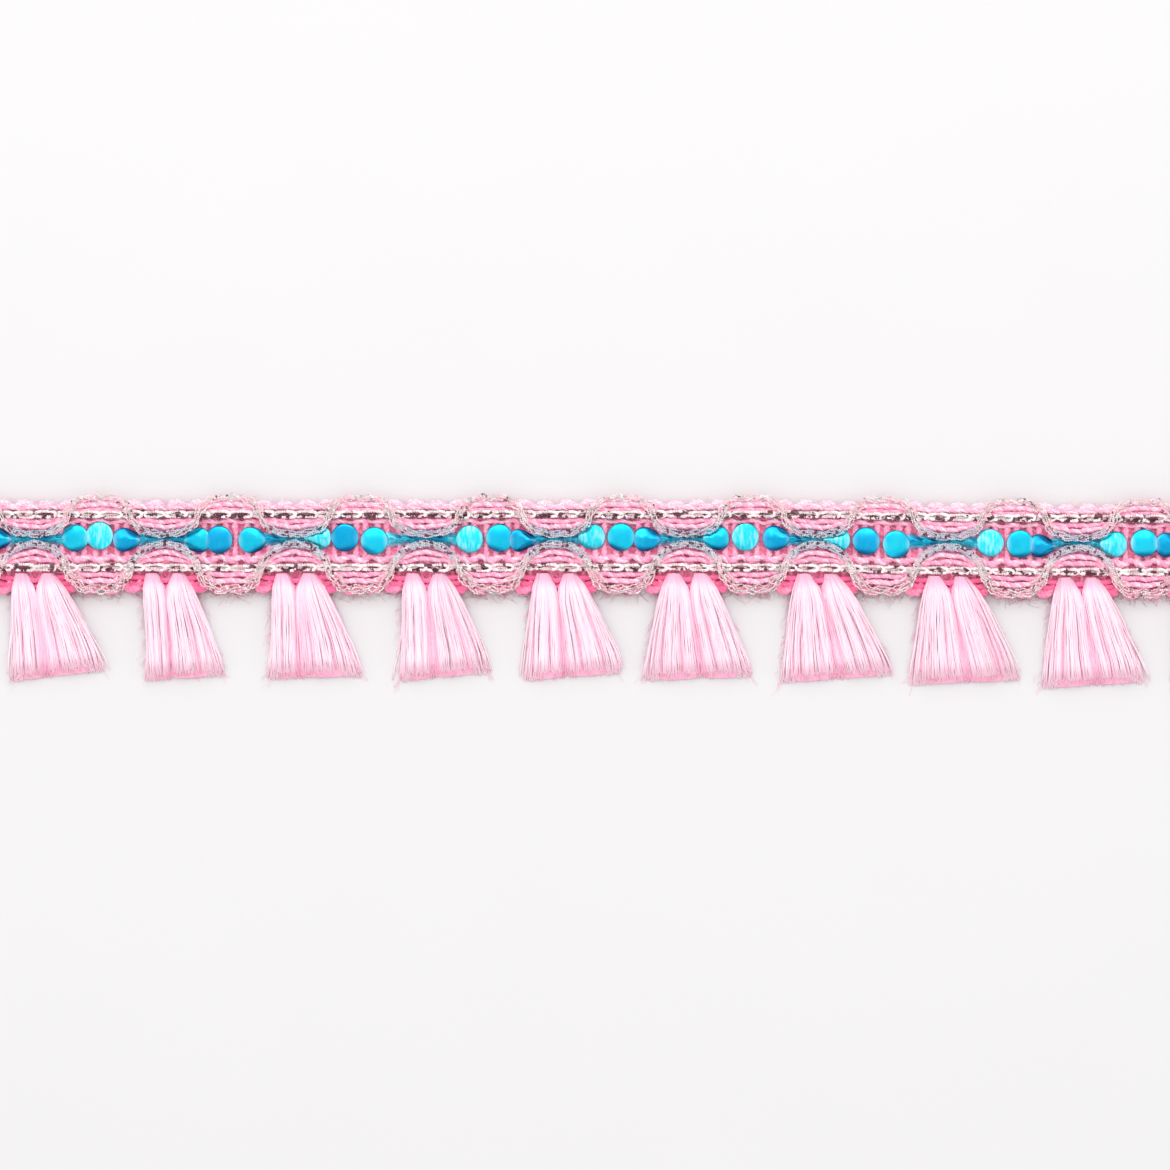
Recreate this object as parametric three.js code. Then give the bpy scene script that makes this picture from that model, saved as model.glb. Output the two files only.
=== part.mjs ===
// Fringe trim: a cut length of crocheted braid with a row of sequins and short tassels.
// Millimetres, +Z up. The trim lies flat on its back along X, and its tassels point to -Y.
// The origin is on the underside, on the middle line of the braid, halfway along.
import * as THREE from "three";

// The pattern repeats every 20 mm: a window that shows the sequins, then a pinch with a tassel.
const REPEAT = 20;
const REPEATS = 10;
const LENGTH = REPEAT * REPEATS;
const LEFT_END = -LENGTH / 2;

// The strip bends down a little towards its right end.
const BOW = { start: 20, end: 68, drop: 0.65 };

// Every piece keeps this much air to its neighbours.
const GAP = 0.3;

// The ground is the crocheted band that carries all the other pieces.
const GROUND = {
  thickness: 1.2,
  upperValley: 6.3,
  upperBulge: 6.95,
  lowerValley: 7.3,
  lowerBulge: 7.6,
  plateauHalf: 3.2,
  flankEnd: 5.4,
  step: REPEAT / 12,
};

// Two rows of chain stitch run along the ground, one on each side of the sequins.
const CHAIN = { centre: 4.08, width: 1.3, height: 0.8, step: REPEAT / 4 };
const CHAIN_BOTTOM = GROUND.thickness + GAP;

// The sequins lie in one string, three discs to each window, and narrow in the pinches.
const SEQUIN = { radius: 2.07, pitch: 4.45, centre: 0.65, thickness: 0.3, bridgeHalf: 0.5 };
const SEQUINS_PER_WINDOW = 3;
const SEQUIN_BOTTOM = GROUND.thickness + GAP;

// A silver gimp cord waves along each edge: out round the window and in over the pinch.
// offset is the distance along X from the middle of the window. The heights are those of the
// cord's middle line, with a little spare where it dips between two knots. Its hump over the
// chain is lower at the shoulders than in the middle.
const CORD = { radius: 0.4, sides: 6, stepsPerRepeat: 14, spare: 0.08, shoulder: 0.15 };
const CORD_LIFT = GAP + CORD.radius + CORD.spare;
const CORD_ON_GROUND = GROUND.thickness + CORD_LIFT;
const CORD_ON_SEQUINS = SEQUIN_BOTTOM + SEQUIN.thickness + CORD_LIFT;
const CORD_ON_CHAIN = CHAIN_BOTTOM + CHAIN.height + CORD_LIFT;
const CORD_BESIDE_CHAIN = CORD_ON_CHAIN - CORD.shoulder;
const UPPER_WAVE = [
  { offset: 0, y: 6.83, z: CORD_ON_GROUND },
  { offset: 2.6, y: 6.62, z: CORD_ON_GROUND },
  { offset: 4.45, y: 5.5, z: CORD_BESIDE_CHAIN },
  { offset: 5, y: CHAIN.centre, z: CORD_ON_CHAIN },
  { offset: 5.6, y: 2.75, z: CORD_BESIDE_CHAIN },
  { offset: 7.4, y: 1.75, z: CORD_ON_SEQUINS },
  { offset: 10, y: 1.38, z: CORD_ON_SEQUINS },
];
const LOWER_WAVE = [
  { offset: 0, y: -7.45, z: CORD_ON_GROUND },
  { offset: 2.7, y: -7.2, z: CORD_ON_GROUND },
  { offset: 4.45, y: -5.6, z: CORD_BESIDE_CHAIN },
  { offset: 5, y: -CHAIN.centre, z: CORD_ON_CHAIN },
  { offset: 5.6, y: -2.7, z: CORD_BESIDE_CHAIN },
  { offset: 7.4, y: -1.1, z: CORD_ON_SEQUINS },
  { offset: 10, y: -0.46, z: CORD_ON_SEQUINS },
];

// Each tassel is two bunches of yarn. left, divide and right are where the outer sides and the
// line between the bunches reach at the cut end, from the tassel's middle. leftEnd and rightEnd
// are how far down the cut end lies on each side.
const TASSELS = [
  { left: -3.9, divide: 1.5, right: 11.2, leftEnd: -21.6, rightEnd: -19.9 },
  { left: -3.2, divide: 0.5, right: 9.5, leftEnd: -21.5, rightEnd: -20.7 },
  { left: -4.3, divide: 0.3, right: 10.7, leftEnd: -21.2, rightEnd: -20.8 },
  { left: -4.2, divide: 0.9, right: 10.4, leftEnd: -21.6, rightEnd: -20.2 },
  { left: -5.1, divide: 1.1, right: 10.6, leftEnd: -21.5, rightEnd: -20.3 },
  { left: -6.9, divide: 2.5, right: 10.5, leftEnd: -21.5, rightEnd: -20.9 },
  { left: -5.7, divide: 3.4, right: 12.4, leftEnd: -21.9, rightEnd: -20.3 },
  { left: -5.8, divide: 3.2, right: 11.6, leftEnd: -21.8, rightEnd: -20.8 },
  { left: -5.7, divide: 3.1, right: 11.2, leftEnd: -22.1, rightEnd: -21 },
  { left: -5, divide: 1.5, right: 9.8, leftEnd: -21.4, rightEnd: -20.5 },
];
const BUNCH = {
  rootSpare: 0.06,
  rootCentre: 1.95,
  rootHalf: 1.7,
  halfDivide: 0.2,
  spreadPower: 1.25,
  sides: 12,
  flatBelow: -0.75,
  cutSlant: 1.8,
};
const BUNCH_ROOT_Y = -(CHAIN.centre + CHAIN.width / 2 + GAP + BUNCH.rootSpare);

// Sections of a bunch: along is the share of its length, rest is the height of its underside,
// and full is the share of the width there. It leaves the ground level, then droops to the table.
const BUNCH_SECTIONS = [
  { along: 0, rest: CHAIN_BOTTOM, thickness: 1.5, full: 0.8 },
  { along: 0.07, rest: CHAIN_BOTTOM, thickness: 2.1, full: 1 },
  { along: 0.2, rest: CHAIN_BOTTOM, thickness: 2.4, full: 1 },
  { along: 0.34, rest: 0.7, thickness: 2.6, full: 1 },
  { along: 0.5, rest: 0.1, thickness: 2.6, full: 1 },
  { along: 0.64, rest: 0, thickness: 2.5, full: 1 },
  { along: 1, rest: 0, thickness: 2.4, full: 1 },
];

const groundYarn = new THREE.MeshStandardMaterial({ color: 0xee9bbd, roughness: 0.85, metalness: 0 });
const tasselYarn = new THREE.MeshStandardMaterial({ color: 0xfbdaec, roughness: 0.7, metalness: 0 });
const silverYarn = new THREE.MeshStandardMaterial({ color: 0xd9d3d6, roughness: 0.3, metalness: 0.9 });
const sequinFilm = new THREE.MeshStandardMaterial({ color: 0x14bbea, roughness: 0.25, metalness: 0.4 });

function bow(x) {
  return -BOW.drop * THREE.MathUtils.smoothstep(x, BOW.start, BOW.end);
}

// Moves every point of a straight piece sideways by the bend of the strip.
function bend(geometry) {
  const position = geometry.attributes.position;
  for (let i = 0; i < position.count; i += 1) {
    position.setY(i, position.getY(i) + bow(position.getX(i)));
  }
  geometry.computeVertexNormals();
  return geometry;
}

function windowCentre(index) {
  return LEFT_END + REPEAT * index;
}

// A flat piece whose outline runs along upper(x) and back along lower(x).
function band(upper, lower, step, height, bottom) {
  const count = Math.round(LENGTH / step);
  const outline = [];
  for (let i = 0; i <= count; i += 1) {
    const x = LEFT_END + step * i;
    outline.push(new THREE.Vector2(x, lower(x)));
  }
  for (let i = count; i >= 0; i -= 1) {
    const x = LEFT_END + step * i;
    outline.push(new THREE.Vector2(x, upper(x)));
  }
  const shape = new THREE.Shape(outline);
  const geometry = new THREE.ExtrudeGeometry(shape, { depth: height, bevelEnabled: false });
  geometry.translate(0, 0, bottom);
  return bend(geometry);
}

// 1 in the middle of a window, 0 in a pinch, with soft flanks between them.
function bulge(x) {
  const phase = THREE.MathUtils.euclideanModulo(x - LEFT_END + REPEAT / 2, REPEAT) - REPEAT / 2;
  return 1 - THREE.MathUtils.smoothstep(Math.abs(phase), GROUND.plateauHalf, GROUND.flankEnd);
}

function groundGeometry() {
  const upper = (x) => THREE.MathUtils.lerp(GROUND.upperValley, GROUND.upperBulge, bulge(x));
  const lower = (x) => -THREE.MathUtils.lerp(GROUND.lowerValley, GROUND.lowerBulge, bulge(x));
  return band(upper, lower, GROUND.step, GROUND.thickness, 0);
}

function chainGeometry(centre) {
  const upper = () => centre + CHAIN.width / 2;
  const lower = () => centre - CHAIN.width / 2;
  return band(upper, lower, CHAIN.step, CHAIN.height, CHAIN_BOTTOM);
}

// The middles of all the discs, from left to right.
function discCentres() {
  const centres = [];
  const half = (SEQUINS_PER_WINDOW - 1) / 2;
  for (let index = 0; index <= REPEATS; index += 1) {
    for (let disc = -half; disc <= half; disc += 1) {
      const x = windowCentre(index) + disc * SEQUIN.pitch;
      if (Math.abs(x) < LENGTH / 2 - SEQUIN.radius) {
        centres.push(x);
      }
    }
  }
  return centres;
}

// Discs in a row, joined by a narrow bridge where two of them meet and through each pinch.
function sequinGeometry() {
  const { radius, centre, bridgeHalf, thickness } = SEQUIN;
  const reach = Math.asin(bridgeHalf / radius);
  const discs = discCentres();
  const outline = new THREE.Shape();
  outline.moveTo(LEFT_END, centre - bridgeHalf);
  for (const x of discs) {
    outline.absarc(x, centre, radius, Math.PI + reach, 2 * Math.PI - reach, false);
  }
  outline.lineTo(-LEFT_END, centre - bridgeHalf);
  outline.lineTo(-LEFT_END, centre + bridgeHalf);
  for (const x of discs.reverse()) {
    outline.absarc(x, centre, radius, reach, Math.PI - reach, false);
  }
  outline.lineTo(LEFT_END, centre + bridgeHalf);
  outline.closePath();
  const geometry = new THREE.ExtrudeGeometry(outline, {
    depth: thickness,
    bevelEnabled: false,
    curveSegments: 3,
  });
  geometry.translate(0, 0, SEQUIN_BOTTOM);
  return bend(geometry);
}

// The line of a cord through the knots of its wave, mirrored about each window and each pinch.
function cordLine(wave) {
  const points = [];
  for (let index = 0; index <= REPEATS; index += 1) {
    const middle = windowCentre(index);
    for (const knot of wave.slice(1).reverse()) {
      points.push(new THREE.Vector3(middle - knot.offset, knot.y, knot.z));
    }
    for (const knot of wave.slice(0, -1)) {
      points.push(new THREE.Vector3(middle + knot.offset, knot.y, knot.z));
    }
  }
  const inside = points.filter((point) => Math.abs(point.x) <= LENGTH / 2);
  return new THREE.CatmullRomCurve3(inside, false, "centripetal");
}

function cordGeometry(wave) {
  const section = new THREE.Shape();
  section.absarc(0, 0, CORD.radius, 0, 2 * Math.PI, false);
  const geometry = new THREE.ExtrudeGeometry(section, {
    extrudePath: cordLine(wave),
    steps: CORD.stepsPerRepeat * REPEATS,
    curveSegments: CORD.sides / 2,
    bevelEnabled: false,
  });
  return bend(geometry);
}

// Where the left and right sides of one bunch lie at its root and at its cut end.
function bunchSides(row, side) {
  const { rootCentre, rootHalf, halfDivide } = BUNCH;
  if (side === "left") {
    return {
      rootLeft: -rootCentre - rootHalf,
      rootRight: -rootCentre + rootHalf,
      endLeft: row.left,
      endRight: row.divide - halfDivide,
    };
  }
  return {
    rootLeft: rootCentre - rootHalf,
    rootRight: rootCentre + rootHalf,
    endLeft: row.divide + halfDivide,
    endRight: row.right,
  };
}

// A drum whose rings become the sections of the bunch. across runs from 0 to 1 over the width,
// up from 0 to 1 over the thickness, and the yarns on top are cut shorter than those below.
function bunchGeometry(row, side) {
  const sides = bunchSides(row, side);
  const rings = BUNCH_SECTIONS.length - 1;
  const geometry = new THREE.CylinderGeometry(1, 1, rings, BUNCH.sides, rings);
  const position = geometry.attributes.position;
  for (let i = 0; i < position.count; i += 1) {
    const section = BUNCH_SECTIONS[Math.round(rings / 2 - position.getY(i))];
    const across = 0.5 + (position.getX(i) / 2) * section.full;
    const up = (Math.max(position.getZ(i), BUNCH.flatBelow) - BUNCH.flatBelow) / (1 - BUNCH.flatBelow);
    const spread = 1 - (1 - section.along) ** BUNCH.spreadPower;
    const leftX = THREE.MathUtils.lerp(sides.rootLeft, sides.endLeft, spread);
    const rightX = THREE.MathUtils.lerp(sides.rootRight, sides.endRight, spread);
    const x = THREE.MathUtils.lerp(leftX, rightX, across);
    const endX = THREE.MathUtils.lerp(sides.endLeft, sides.endRight, across);
    const endShare = (endX - row.left) / (row.right - row.left);
    const cutY = THREE.MathUtils.lerp(row.leftEnd, row.rightEnd, endShare) + BUNCH.cutSlant * up;
    const y = THREE.MathUtils.lerp(BUNCH_ROOT_Y, cutY, section.along);
    position.setXYZ(i, x, y, section.rest + section.thickness * up);
  }
  geometry.computeVertexNormals();
  return geometry;
}

function piece(name, geometry, material) {
  const mesh = new THREE.Mesh(geometry, material);
  mesh.name = name;
  return mesh;
}

function tassels() {
  const group = new THREE.Group();
  TASSELS.forEach((row, index) => {
    const tassel = new THREE.Group();
    const middle = windowCentre(index) + REPEAT / 2;
    const number = String(index + 1).padStart(2, "0");
    for (const side of ["left", "right"]) {
      tassel.add(piece(`tassel_${number}_${side}`, bunchGeometry(row, side), tasselYarn));
    }
    tassel.position.set(middle, bow(middle), 0);
    group.add(tassel);
  });
  return group;
}

const trim = new THREE.Group();
trim.add(piece("heading_ground", groundGeometry(), groundYarn));
trim.add(piece("chain_upper", chainGeometry(CHAIN.centre), silverYarn));
trim.add(piece("chain_lower", chainGeometry(-CHAIN.centre), silverYarn));
trim.add(piece("sequin_strip", sequinGeometry(), sequinFilm));
trim.add(piece("silver_cord_upper", cordGeometry(UPPER_WAVE), silverYarn));
trim.add(piece("silver_cord_lower", cordGeometry(LOWER_WAVE), silverYarn));
trim.add(tassels());

export default trim;
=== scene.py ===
import math

import bmesh
import bpy
import numpy as np
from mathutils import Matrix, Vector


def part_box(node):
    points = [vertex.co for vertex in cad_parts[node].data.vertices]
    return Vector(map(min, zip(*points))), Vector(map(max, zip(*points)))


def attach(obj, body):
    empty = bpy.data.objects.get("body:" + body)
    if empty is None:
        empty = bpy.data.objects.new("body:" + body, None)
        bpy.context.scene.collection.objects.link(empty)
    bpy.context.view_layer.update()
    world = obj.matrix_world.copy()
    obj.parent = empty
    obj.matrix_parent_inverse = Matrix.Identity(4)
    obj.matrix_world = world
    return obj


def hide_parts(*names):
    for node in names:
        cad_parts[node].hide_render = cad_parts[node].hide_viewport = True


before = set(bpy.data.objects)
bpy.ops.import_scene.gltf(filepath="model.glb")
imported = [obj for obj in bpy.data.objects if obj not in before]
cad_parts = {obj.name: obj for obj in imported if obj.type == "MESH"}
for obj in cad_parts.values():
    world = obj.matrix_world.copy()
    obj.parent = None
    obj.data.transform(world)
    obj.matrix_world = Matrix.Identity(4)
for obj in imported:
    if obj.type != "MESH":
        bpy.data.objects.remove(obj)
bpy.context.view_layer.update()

bl_info = {
    "name": "Sequinned Tassel Trim",
    "version": (1, 0, 0),
    "blender": (4, 5, 0),
    "location": "View3D > Sidebar > Trim",
    "description": "Builds a crocheted braid with sequins, silver cords and yarn tassels",
    "category": "Add Mesh",
}

# Lengths are in metres. Tables are in millimetres and are turned into metres where they are read.
MM = 0.001
FULL_TURN = 2 * math.pi
BODY = "root"
# The two long sides of the braid, and which way each faces along Y.
SIDES = {"upper": 1, "lower": -1}
# Each group of pieces draws its unevenness from a seed of its own.
SEEDS = {
    "loops": 11,
    "crossing": 21,
    "gimp": 31,
    "silver": 51,
    "chains": 71,
    "core": 81,
    "sequins": 91,
    "tassels": 201,
    "roots": 301,
    "edge hairs": 401,
    "top hairs": 403,
    "tassel hairs": 404,
    "low hairs": 405,
    "frayed ends": 406,
}

# The frame gives the ends of the strip and the chain rows.
GROUND_LOW, GROUND_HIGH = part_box("heading_ground")
CHAIN_LOW, CHAIN_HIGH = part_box("chain_upper")
LEFT_END = GROUND_LOW.x
LENGTH = GROUND_HIGH.x - GROUND_LOW.x
RIGHT_END = LEFT_END + LENGTH
CHAIN_BOTTOM = CHAIN_LOW.z
CHAIN_HALF = 0.65 * MM
CHAIN_Y = CHAIN_HIGH.y - CHAIN_HALF
CHAIN_SHIFT = 0.18 * MM
CHAIN_ROWS = {side: sign * CHAIN_Y + CHAIN_SHIFT for side, sign in SIDES.items()}
REPEATS = 10
REPEAT = LENGTH / REPEATS
STITCHES_PER_REPEAT = 6
PITCH = REPEAT / STITCHES_PER_REPEAT
STITCHES = STITCHES_PER_REPEAT * REPEATS

# A window is where the sequins show, and a pinch is where the silver cords close over them. Both are
# measured from the middle of a window.
WINDOW_END = 3.2 * MM
PINCH_START = 5.4 * MM
# The strip bends down a little towards its right end.
BOW_START = 20 * MM
BOW_END = 68 * MM
BOW_DROP = 0.65 * MM

# The ground sheet: faces along and across it, how far inside the loops it ends, its height, its thickness
# and the height of its ribs.
SHEET_GRID = (240, 16)
SHEET_INSET = 0.3 * MM
SHEET_HEIGHT = 0.12 * MM
SHEET_THICKNESS = 0.5 * MM
SHEET_RIB = 0.04 * MM
# Height of one course of its knit, in millimetres.
COURSE = 1.1

# Radius of a ply, as a share of the width of a yarn of two or three plies.
PLY_RADIUS = {2: 0.3, 3: 0.29}
# How a yarn strays from its line: shares of its wavelength that are added up.
WANDER_OCTAVES = (1.0, 0.55, 0.31)

# How far the loops of the ground reach past the middle line, in pinches and in windows.
LOOP_REACH = {
    "upper": {"pinch": 5.85, "window": 6.5},
    "lower": {"pinch": 7.3, "window": 7.35},
}
LOOP_RINGS = 35
LOOP_HALF_WIDTH = 0.92 * MM
LOOP_TURN = 2.3 * MM
# Painted light on the loop heads: those of the upper loops, which face the lamp, get a painted highlight in
# paler pink; those of the lower ones get a little painted shade.
LOOP_HEAD_LIGHT_AND_SHADE = {"upper": 0.8, "lower": -0.2}
# The knots of one loop from its head to one foot, in units of half its width and shares of its reach, and
# how full the yarn is.
HALF_LOOP_KNOTS = (
    # across, share, height, full
    (0.0, 1.0, 0.86, 1.3),
    (0.82, 0.975, 0.84, 1.2),
    (1.18, 0.84, 0.76, 1.05),
    (0.9, 0.64, 0.66, 0.72),
    (1.05, 0.42, 0.78, 1.08),
    (1.0, 0.2, 0.74, 1.0),
    (1.0, -0.04, 0.62, 0.75),
)

# Yarns that cross the loops, two beside the sequins and one along the upper edge.
CROSSING_RINGS = 560
CROSSING_TURN = 2.9 * MM
CROSSING_YARNS = (
    # name, side, away from the middle line, further in a window, wave, width, height, and in a window, tone
    ("upper_bars", 1, 3.15, 0.0, 0.15, 0.8, 0.85, 1.15, 0.1),
    ("lower_bars", -1, 2.6, 0.0, 0.3, 1.25, 0.85, 1.15, 0.1),
    ("upper_edging", 1, 5.25, 0.4, 0.14, 0.95, 1.45, 1.2, 0.35),
)

# The wave of the silver cords, as on the frame's cords: offset from the middle of a window, distance
# from the middle line, height.
WAVE_KNOTS = {
    "upper": (
        (0.0, 6.83, 1.95),
        (2.6, 6.62, 1.95),
        (4.45, 5.5, 2.8),
        (5.0, 4.08, 3.0),
        (5.6, 2.75, 2.75),
        (7.4, 1.75, 2.35),
        (10.0, 1.38, 2.3),
    ),
    "lower": (
        (0.0, -7.45, 1.9),
        (2.7, -7.2, 1.9),
        (4.45, -5.6, 2.8),
        (5.0, -4.08, 3.0),
        (5.6, -2.7, 2.75),
        (7.4, -1.1, 2.35),
        (10.0, -0.46, 2.3),
    ),
}
# A wave is drawn with this many points to a knot before it is divided evenly.
FINE_POINTS = 40
# Silver strands of each wave lie side by side.
SILVER_SPACING = 0.31 * MM
SILVER_TURN = 0.95 * MM
SILVER_FACETS = 0.9 * MM
SILVER_LANES = {
    # lane outwards in a pinch, lane outwards in a window, lift
    "upper": (
        (-0.6, -0.95, -0.1),
        (-0.33, -0.4, 0.0),
        (-0.05, -0.02, 0.1),
        (0.22, 0.3, 0.0),
    ),
    "lower": (
        (-0.62, -1.4, -0.15),
        (-0.4, -0.75, -0.05),
        (-0.18, -0.4, 0.08),
        (0.02, -0.02, 0.1),
        (0.24, 0.32, 0.0),
    ),
}
# Pink strands nested inside each wave.
GIMP_SPACING = 0.34 * MM
GIMP_TURN = 1.7 * MM
GIMP_TONES = (0.95, 0.55, 0.2, 0.6, 0.25, 0.0)
PINK_STRANDS = {
    # share of the wave's depth in a window, share in a pinch, height
    "upper": ((0.62, 0.66, 1.68), (0.3, 0.34, 1.5)),
    "lower": ((0.56, 0.7, 1.68), (0.27, 0.4, 1.55)),
}

# One chain stitch: along, across, height above the chain's bottom, share of dark flecks, painted shade on its
# lower side and tails.
STITCH_KNOTS = (
    (-1.9, 0.0, 0.15, 0.3),
    (-1.45, 0.22, 0.34, 0.05),
    (-0.6, 0.36, 0.55, 0.0),
    (0.5, 0.38, 0.62, 0.0),
    (1.35, 0.3, 0.66, 0.05),
    (1.72, 0.0, 0.7, 0.05),
    (1.4, -0.36, 0.6, 0.2),
    (0.5, -0.4, 0.46, 0.45),
    (-0.6, -0.38, 0.4, 0.45),
    (-1.45, -0.24, 0.3, 0.4),
    (-1.9, 0.0, 0.15, 0.3),
)
STITCH_HALF = 1.9 * MM
STITCH_RINGS = 32
CHAIN_TURN = 1.3 * MM
CHAIN_FACETS = 1.4 * MM
# Painted shade in dark flecks on each row; the lower row shows less of it.
CHAIN_PAINTED_SHADE = {"upper": 0.9, "lower": 0.5}
# The cord inside a chain: rings, distance from the row, height, how far its two plies lie apart, their
# radius and turn, and its share of dark flecks, painted shade where it shows between the stitches.
CORE_RINGS = 450
CORE_SIDEWAYS = -0.08 * MM
CORE_HEIGHT = 0.14 * MM
CORE_OFFSET = 0.12 * MM
CORE_RADIUS = 0.16 * MM
CORE_TURN = 1.1 * MM
CORE_PAINTED_SHADE = 0.55

# Three sequins to a window, one row for each window from the left end: where each lies along the
# window, how far from the middle line, and how light it looks. How light a disc looks is painted reflection,
# for how much of the lamp each tilted disc reflects.
WINDOW_SEQUINS = (
    ((-4.4, 0.5, "light"), (0.0, 0.6, "azure"), (4.4, 0.5, "blue")),
    ((-3.8, 0.6, "azure"), (0.0, 0.95, "light"), (4.2, 0.35, "blue")),
    ((-5.1, 0.3, "azure"), (-1.7, 0.35, "blue"), (3.4, 0.3, "azure")),
    ((-6.6, 0.7, "light"), (-2.4, 0.65, "blue"), (2.1, 0.2, "azure")),
    ((-3.3, 0.45, "light"), (1.3, 0.6, "azure"), (4.9, 0.25, "blue")),
    ((-4.6, 0.75, "light"), (-0.1, 0.75, "azure"), (3.9, 0.45, "blue")),
    ((-5.5, 0.6, "azure"), (-1.0, 0.75, "light"), (3.7, 0.6, "blue")),
    ((-7.0, 0.5, "light"), (-2.5, 0.35, "blue"), (2.1, -0.1, "azure")),
    ((-3.5, 0.45, "light"), (1.1, 0.3, "azure"), (4.6, 0.05, "blue")),
    ((-4.6, 0.3, "light"), (0.1, 0.5, "azure"), (3.9, 0.2, "blue")),
    ((-4.5, 0.5, "light"), (0.0, 0.5, "blue"), (4.5, 0.4, "azure")),
)
TONE_VALUE = {"light": 0.0, "azure": 0.55, "blue": 1.0}
# In a pinch the sequins start and end this far from the flat ones beside them, about this far apart, and
# lie on one line.
CRUMPLED_START = 2.7
CRUMPLED_END = 3.4
CRUMPLED_SPACING = 2.5
CRUMPLED_Y = 0.45
# What is kept for each sequin. The turns are in degrees, and left and right are its width across the strip
# on those sides for a width of one. Dark is painted shade.
SEQUIN_COLUMNS = ("x", "y", "height", "turn_x", "turn_y", "left", "right", "tone", "dark", "crumpled")
DISC_SEGMENTS = 28
DISC_RINGS = (0.06, 0.12, 0.22, 0.2, 0.2)
DISC_DOME = 0.14
DISC_THICKNESS = 0.05

# One row for each tassel, as on the frame's solids: where its left side, the line between its two
# bunches and its right side end, and how far down the cut end lies on each side.
TASSEL_ROWS = (
    # left, divide, right, left end, right end
    (-3.9, 1.5, 11.2, -21.6, -19.9),
    (-3.2, 0.5, 9.5, -21.5, -20.7),
    (-4.3, 0.3, 10.7, -21.2, -20.8),
    (-4.2, 0.9, 10.4, -21.6, -20.2),
    (-5.1, 1.1, 10.6, -21.5, -20.3),
    (-6.9, 2.5, 10.5, -21.5, -20.9),
    (-5.7, 3.4, 12.4, -21.9, -20.3),
    (-5.8, 3.2, 11.6, -21.8, -20.8),
    (-5.7, 3.1, 11.2, -22.1, -21.0),
    (-5.0, 1.5, 9.8, -21.4, -20.5),
)
# Sections of a bunch: share of its length, height of its underside, its thickness, its fullness.
BUNCH_SECTIONS = (
    (0.0, 1.35, 0.7, 0.6),
    (0.07, 1.4, 1.5, 0.86),
    (0.2, 1.3, 2.2, 1.0),
    (0.34, 0.75, 2.4, 1.0),
    (0.5, 0.15, 2.55, 1.0),
    (0.64, 0.03, 2.4, 1.0),
    (1.0, 0.03, 2.2, 1.0),
)
BUNCH_RINGS = 8
BUNCH_TOP = -4.95 * MM
# Half the width of a tassel at its roots, and how far inside the rows above the bulk of its yarns ends.
ROOT_HALF = 3.55 * MM
LEFT_MARGIN = 0.45 * MM
RIGHT_MARGIN = 0.9 * MM
# The gap between the two bunches down their length. Below a quarter of it they overlap.
DIVIDE_PLACES = (0, 0.12, 0.26, 1)
DIVIDE_GAPS = (0.55 * MM, 0.1 * MM, -0.3 * MM, -0.35 * MM)
# The cut runs back from the lowest to the topmost yarns.
CUT_SLANT = 1.8 * MM
# The yarns of a bunch gather in three locks, each with its middle in one of these parts of the width.
LOCK_PLACES = ((0.08, 0.25), (0.42, 0.58), (0.75, 0.92))
# The share of a bunch, at its outer side, where its yarns lie low and loose.
OUTER_SHARE = 0.25
YARN_LENGTH = 16 * MM
# The soft core of a bunch: sides, rings, and its height for a bunch's thickness of one.
SOFT_CORE_SIDES = 18
SOFT_CORE_RINGS = 16
SOFT_CORE_HEIGHT = 0.54

# Three yarns behind the roots of each tassel, coloured crimson as painted shade between the roots: across
# from its middle, along Y, height. Each is the same on both sides of the middle.
ROOT_RINGS = 30
ROOT_TURN = 1.7 * MM
HALF_ROOT_KNOTS = (
    ((0.0, -5.9, 1.7), (2.0, -5.6, 0.9), (3.9, -5.5, 1.2), (5.3, -5.3, 0.95)),
    ((0.0, -6.9, 1.5), (2.6, -6.3, 0.8), (4.4, -6.5, 1.1), (5.5, -6.2, 0.9)),
    ((0.0, -7.6, 1.1), (2.8, -7.1, 0.6), (4.5, -7.2, 0.8), (5.4, -6.9, 0.7)),
)

# How far the edge of the braid is from the middle line, at distances from the middle of a window.
EDGE_PLACES = (0, 2.6, 4.2, 4.8, 10)
EDGE_REACH = {"upper": (7.2, 7.0, 6.3, 6.4, 6.5), "lower": (7.75, 7.5, 6.7, 7.3, 7.5)}
HAIRLESS_END = 1 * MM
LOWEST_HAIR = 0.06
TASSEL_HAIRS = 120
FRAYED_ENDS = 110

# The picture is this wide on the table, around this point.
PHOTO_WIDTH = 180 * MM
PHOTO_CENTRE = (-5.6 * MM, -6.6 * MM)
LENS = 90
LAMP_SIZE = (0.7, 0.35)
LAMP_WATTS = 1.9
LAMP_PLACE = (-0.03, 0.42, 0.5)
LAMP_TILT = math.radians(-40)
SURROUNDING_LIGHT = 1.19
FLOOR_RADIUS = 3
FLOOR_HEIGHT = -0.03 * MM
FLOOR_DARKER = (0.64, 0.63, 0.633, 1)
FLOOR_LIGHTER = (0.65, 0.64, 0.643, 1)

# Soft yarn has a dusty sheen and no clear reflections.
YARN_SHEEN = {"Sheen Weight": 0.3, "Sheen Roughness": 0.5, "Specular IOR Level": 0.2}
# Painted reflection of the sequins' blue on nearby silver.
SEQUIN_REFLECTION = (0.42, 0.64, 0.76, 1)
# Painted highlight on the sequins: glint streaks and rims.
HIGHLIGHT_FILM = (0.6, 0.9, 0.98, 1)
SHADED_FILM = (0.002, 0.06, 0.2, 1)


def width_property(name, description, width):
    """A width, given in millimetres."""
    return bpy.props.FloatProperty(name=name, description=description, default=width * MM, unit="LENGTH")


def colour_property(name, description, red, green, blue):
    """A colour without transparency."""
    return bpy.props.FloatVectorProperty(
        name=name, description=description, subtype="COLOR", size=4, default=(red, green, blue, 1)
    )


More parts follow.
